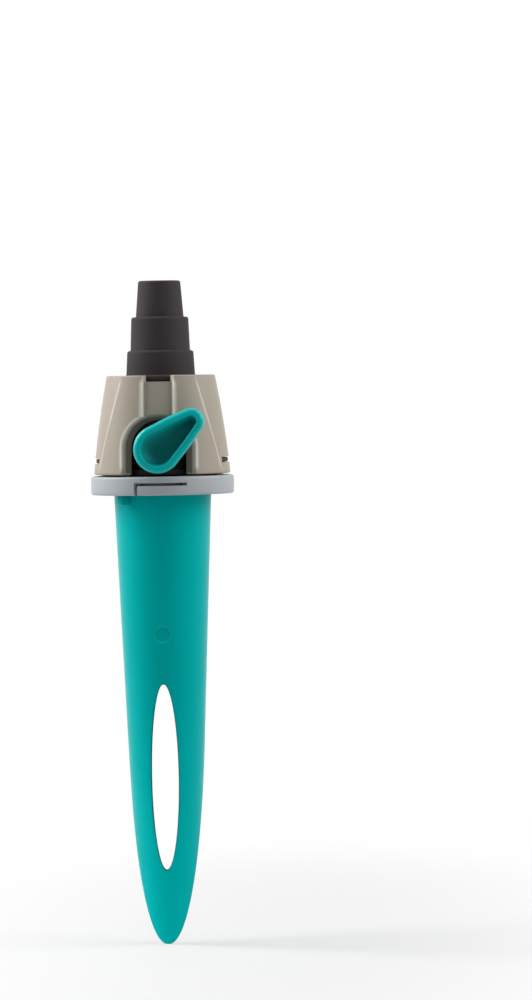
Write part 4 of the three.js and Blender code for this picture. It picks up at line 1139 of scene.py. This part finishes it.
# Camera: nearly straight on, with the object left of the middle of the frame
VIEW_DISTANCE = 1800
VIEW_HEIGHT_SEEN = 366.7  # millimetres in the height of the frame, at the axis
VIEW_ASIDE = 38.6  # middle of the frame to the right of the axis
VIEW_MIDDLE = -2.9
VIEW_AZIMUTH = 2
VIEW_ELEVATION = 1.5
VIEW_ROLL = 0.95
SENSOR = 36

# Floor and light
FLOOR_REACH = 1500
FLOOR_BACK = 600  # its middle behind the object
FLOOR_STEPS = 41
FLOOR_GREY = (0.62, 0.62, 0.62, 1)
FLOOR_ROUGHNESS = 0.8
FLOOR_GLOW = 0.1  # share of plain white that the grey patch still shows
PATCH_FULL = 10  # distance from its middle up to which the grey patch of the floor is full
PATCH_GONE = 170
PATCH_ASIDE = 40  # its middle to the right of the tip
PATCH_LENGTH = 2.4  # how many times longer than wide it is
AMBIENT = 0.245

camera_data = bpy.data.cameras.new("camera")
camera_data.sensor_width = SENSOR
camera_data.lens = SENSOR * VIEW_DISTANCE / VIEW_HEIGHT_SEEN
camera = in_scene("camera", camera_data)
lift = VIEW_ELEVATION * DEG
swing = VIEW_AZIMUTH * DEG
back_off = VIEW_DISTANCE * math.cos(lift)
camera.location = (
    (VIEW_ASIDE * math.cos(swing) + back_off * math.sin(swing)) * MM,
    (VIEW_ASIDE * math.sin(swing) - back_off * math.cos(swing)) * MM,
    (VIEW_MIDDLE + VIEW_DISTANCE * math.sin(lift)) * MM,
)
camera.rotation_mode = "XYZ"
camera.rotation_euler = (math.pi / 2 - lift, VIEW_ROLL * DEG, swing)
bpy.context.scene.camera = camera


def seen_straight(nodes, links):
    """Share that is 1 for what the camera sees, also in a mirror and through glass, and 0 for what only
    lights other things."""
    path = added(nodes, "LightPath")
    seen = path.outputs["Is Camera Ray"]
    for kind in ("Is Glossy Ray", "Is Transmission Ray"):
        either = added(nodes, "Math", operation="MAXIMUM")
        links.new(seen, either.inputs[0])
        links.new(path.outputs[kind], either.inputs[1])
        seen = either.outputs[0]
    return seen


def pale_floor():
    """Floor paint: pale matt grey in a long soft patch round the tip, where the shadow falls, and plain
    white to the camera, to mirrors and to glass further out, by an S-curve of the distance from the patch's
    middle, in which lengths towards the front and back count for less."""
    paint = bpy.data.materials.new("pale floor")
    paint.use_nodes = True
    nodes, links = paint.node_tree.nodes, paint.node_tree.links
    matt = nodes["Principled BSDF"]
    matt.inputs["Base Color"].default_value = FLOOR_GREY
    matt.inputs["Roughness"].default_value = FLOOR_ROUGHNESS
    white = added(nodes, "Emission")
    place = added(nodes, "TexCoord")
    middle = (PATCH_ASIDE * MM, 0, spike_low[2] * MM)
    away = added(nodes, "VectorMath", {1: middle}, operation="DISTANCE")
    squeeze = added(nodes, "VectorMath", {1: (1, 1 / PATCH_LENGTH, 1)}, operation="MULTIPLY")
    links.new(place.outputs["Object"], squeeze.inputs[0])
    links.new(squeeze.outputs[0], away.inputs[0])
    ends = {"From Min": PATCH_FULL * MM, "From Max": PATCH_GONE * MM, "To Min": FLOOR_GLOW}
    fade = added(nodes, "MapRange", ends, interpolation_type="SMOOTHSTEP")
    links.new(away.outputs["Value"], fade.inputs["Value"])
    share = added(nodes, "Math", operation="MULTIPLY")
    links.new(fade.outputs["Result"], share.inputs[0])
    links.new(seen_straight(nodes, links), share.inputs[1])
    mix = added(nodes, "MixShader")
    links.new(share.outputs[0], mix.inputs["Fac"])
    links.new(matt.outputs[0], mix.inputs[1])
    links.new(white.outputs[0], mix.inputs[2])
    links.new(mix.outputs[0], nodes["Material Output"].inputs["Surface"])
    return paint


def studio():
    """Pale floor under the tip, white world for the camera, soft light from lamps on both sides and above,
    and a weak low lamp that reaches the tip only."""
    world = bpy.data.worlds.new("studio")
    bpy.context.scene.world = world
    world.use_nodes = True
    nodes, links = world.node_tree.nodes, world.node_tree.links
    ambient = nodes["Background"]
    ambient.inputs["Color"].default_value = WHITE
    ambient.inputs["Strength"].default_value = AMBIENT
    white = added(nodes, "Background", {"Color": WHITE})
    mix = added(nodes, "MixShader")
    links.new(seen_straight(nodes, links), mix.inputs["Fac"])
    links.new(ambient.outputs[0], mix.inputs[1])
    links.new(white.outputs[0], mix.inputs[2])
    links.new(mix.outputs[0], nodes["World Output"].inputs["Surface"])

    def lamp(name, place, size, power, aim=(0, 0, -40), spread=180):
        """Flat lamp of a width and height, turned to its aim, with its light kept within the spread."""
        data = bpy.data.lights.new(name, "AREA")
        data.shape = "RECTANGLE"
        data.size, data.size_y = size[0] * MM, size[1] * MM
        data.energy = power
        data.spread = spread * DEG
        made = in_scene(name, data)
        made.location = np.array(place) * MM
        way = (np.array(aim) - np.array(place)) * MM
        level = math.hypot(way[0], way[1])
        made.rotation_euler = (math.atan2(level, -way[2]), 0, math.atan2(-way[0], way[1]))

    lamp("left softbox", (-620, 60, 420), (520, 560), 7.6)
    lamp("right softbox", (600, -40, 420), (520, 560), 4.6)
    lamp("top softbox", (0, 0, 650), (700, 500), 0.8)
    lamp("low fill", (-300, -520, -70), (160, 60), 0.018, (0, 0, -180), 20)

    steps = np.linspace(-FLOOR_REACH, FLOOR_REACH, FLOOR_STEPS)
    x, y = np.meshgrid(steps, steps, indexing="ij")
    floor = np.stack([x, y + FLOOR_BACK, np.full_like(x, spike_low[2])], axis=-1)
    mesh = bpy.data.meshes.new("floor")
    mesh.from_pydata(floor.reshape(-1, 3) * MM, [], grid_faces(FLOOR_STEPS, FLOOR_STEPS, 0))
    mesh.materials.append(pale_floor())
    ground = in_scene("floor", mesh)


studio()
bpy.context.scene.view_settings.view_transform = "Standard"

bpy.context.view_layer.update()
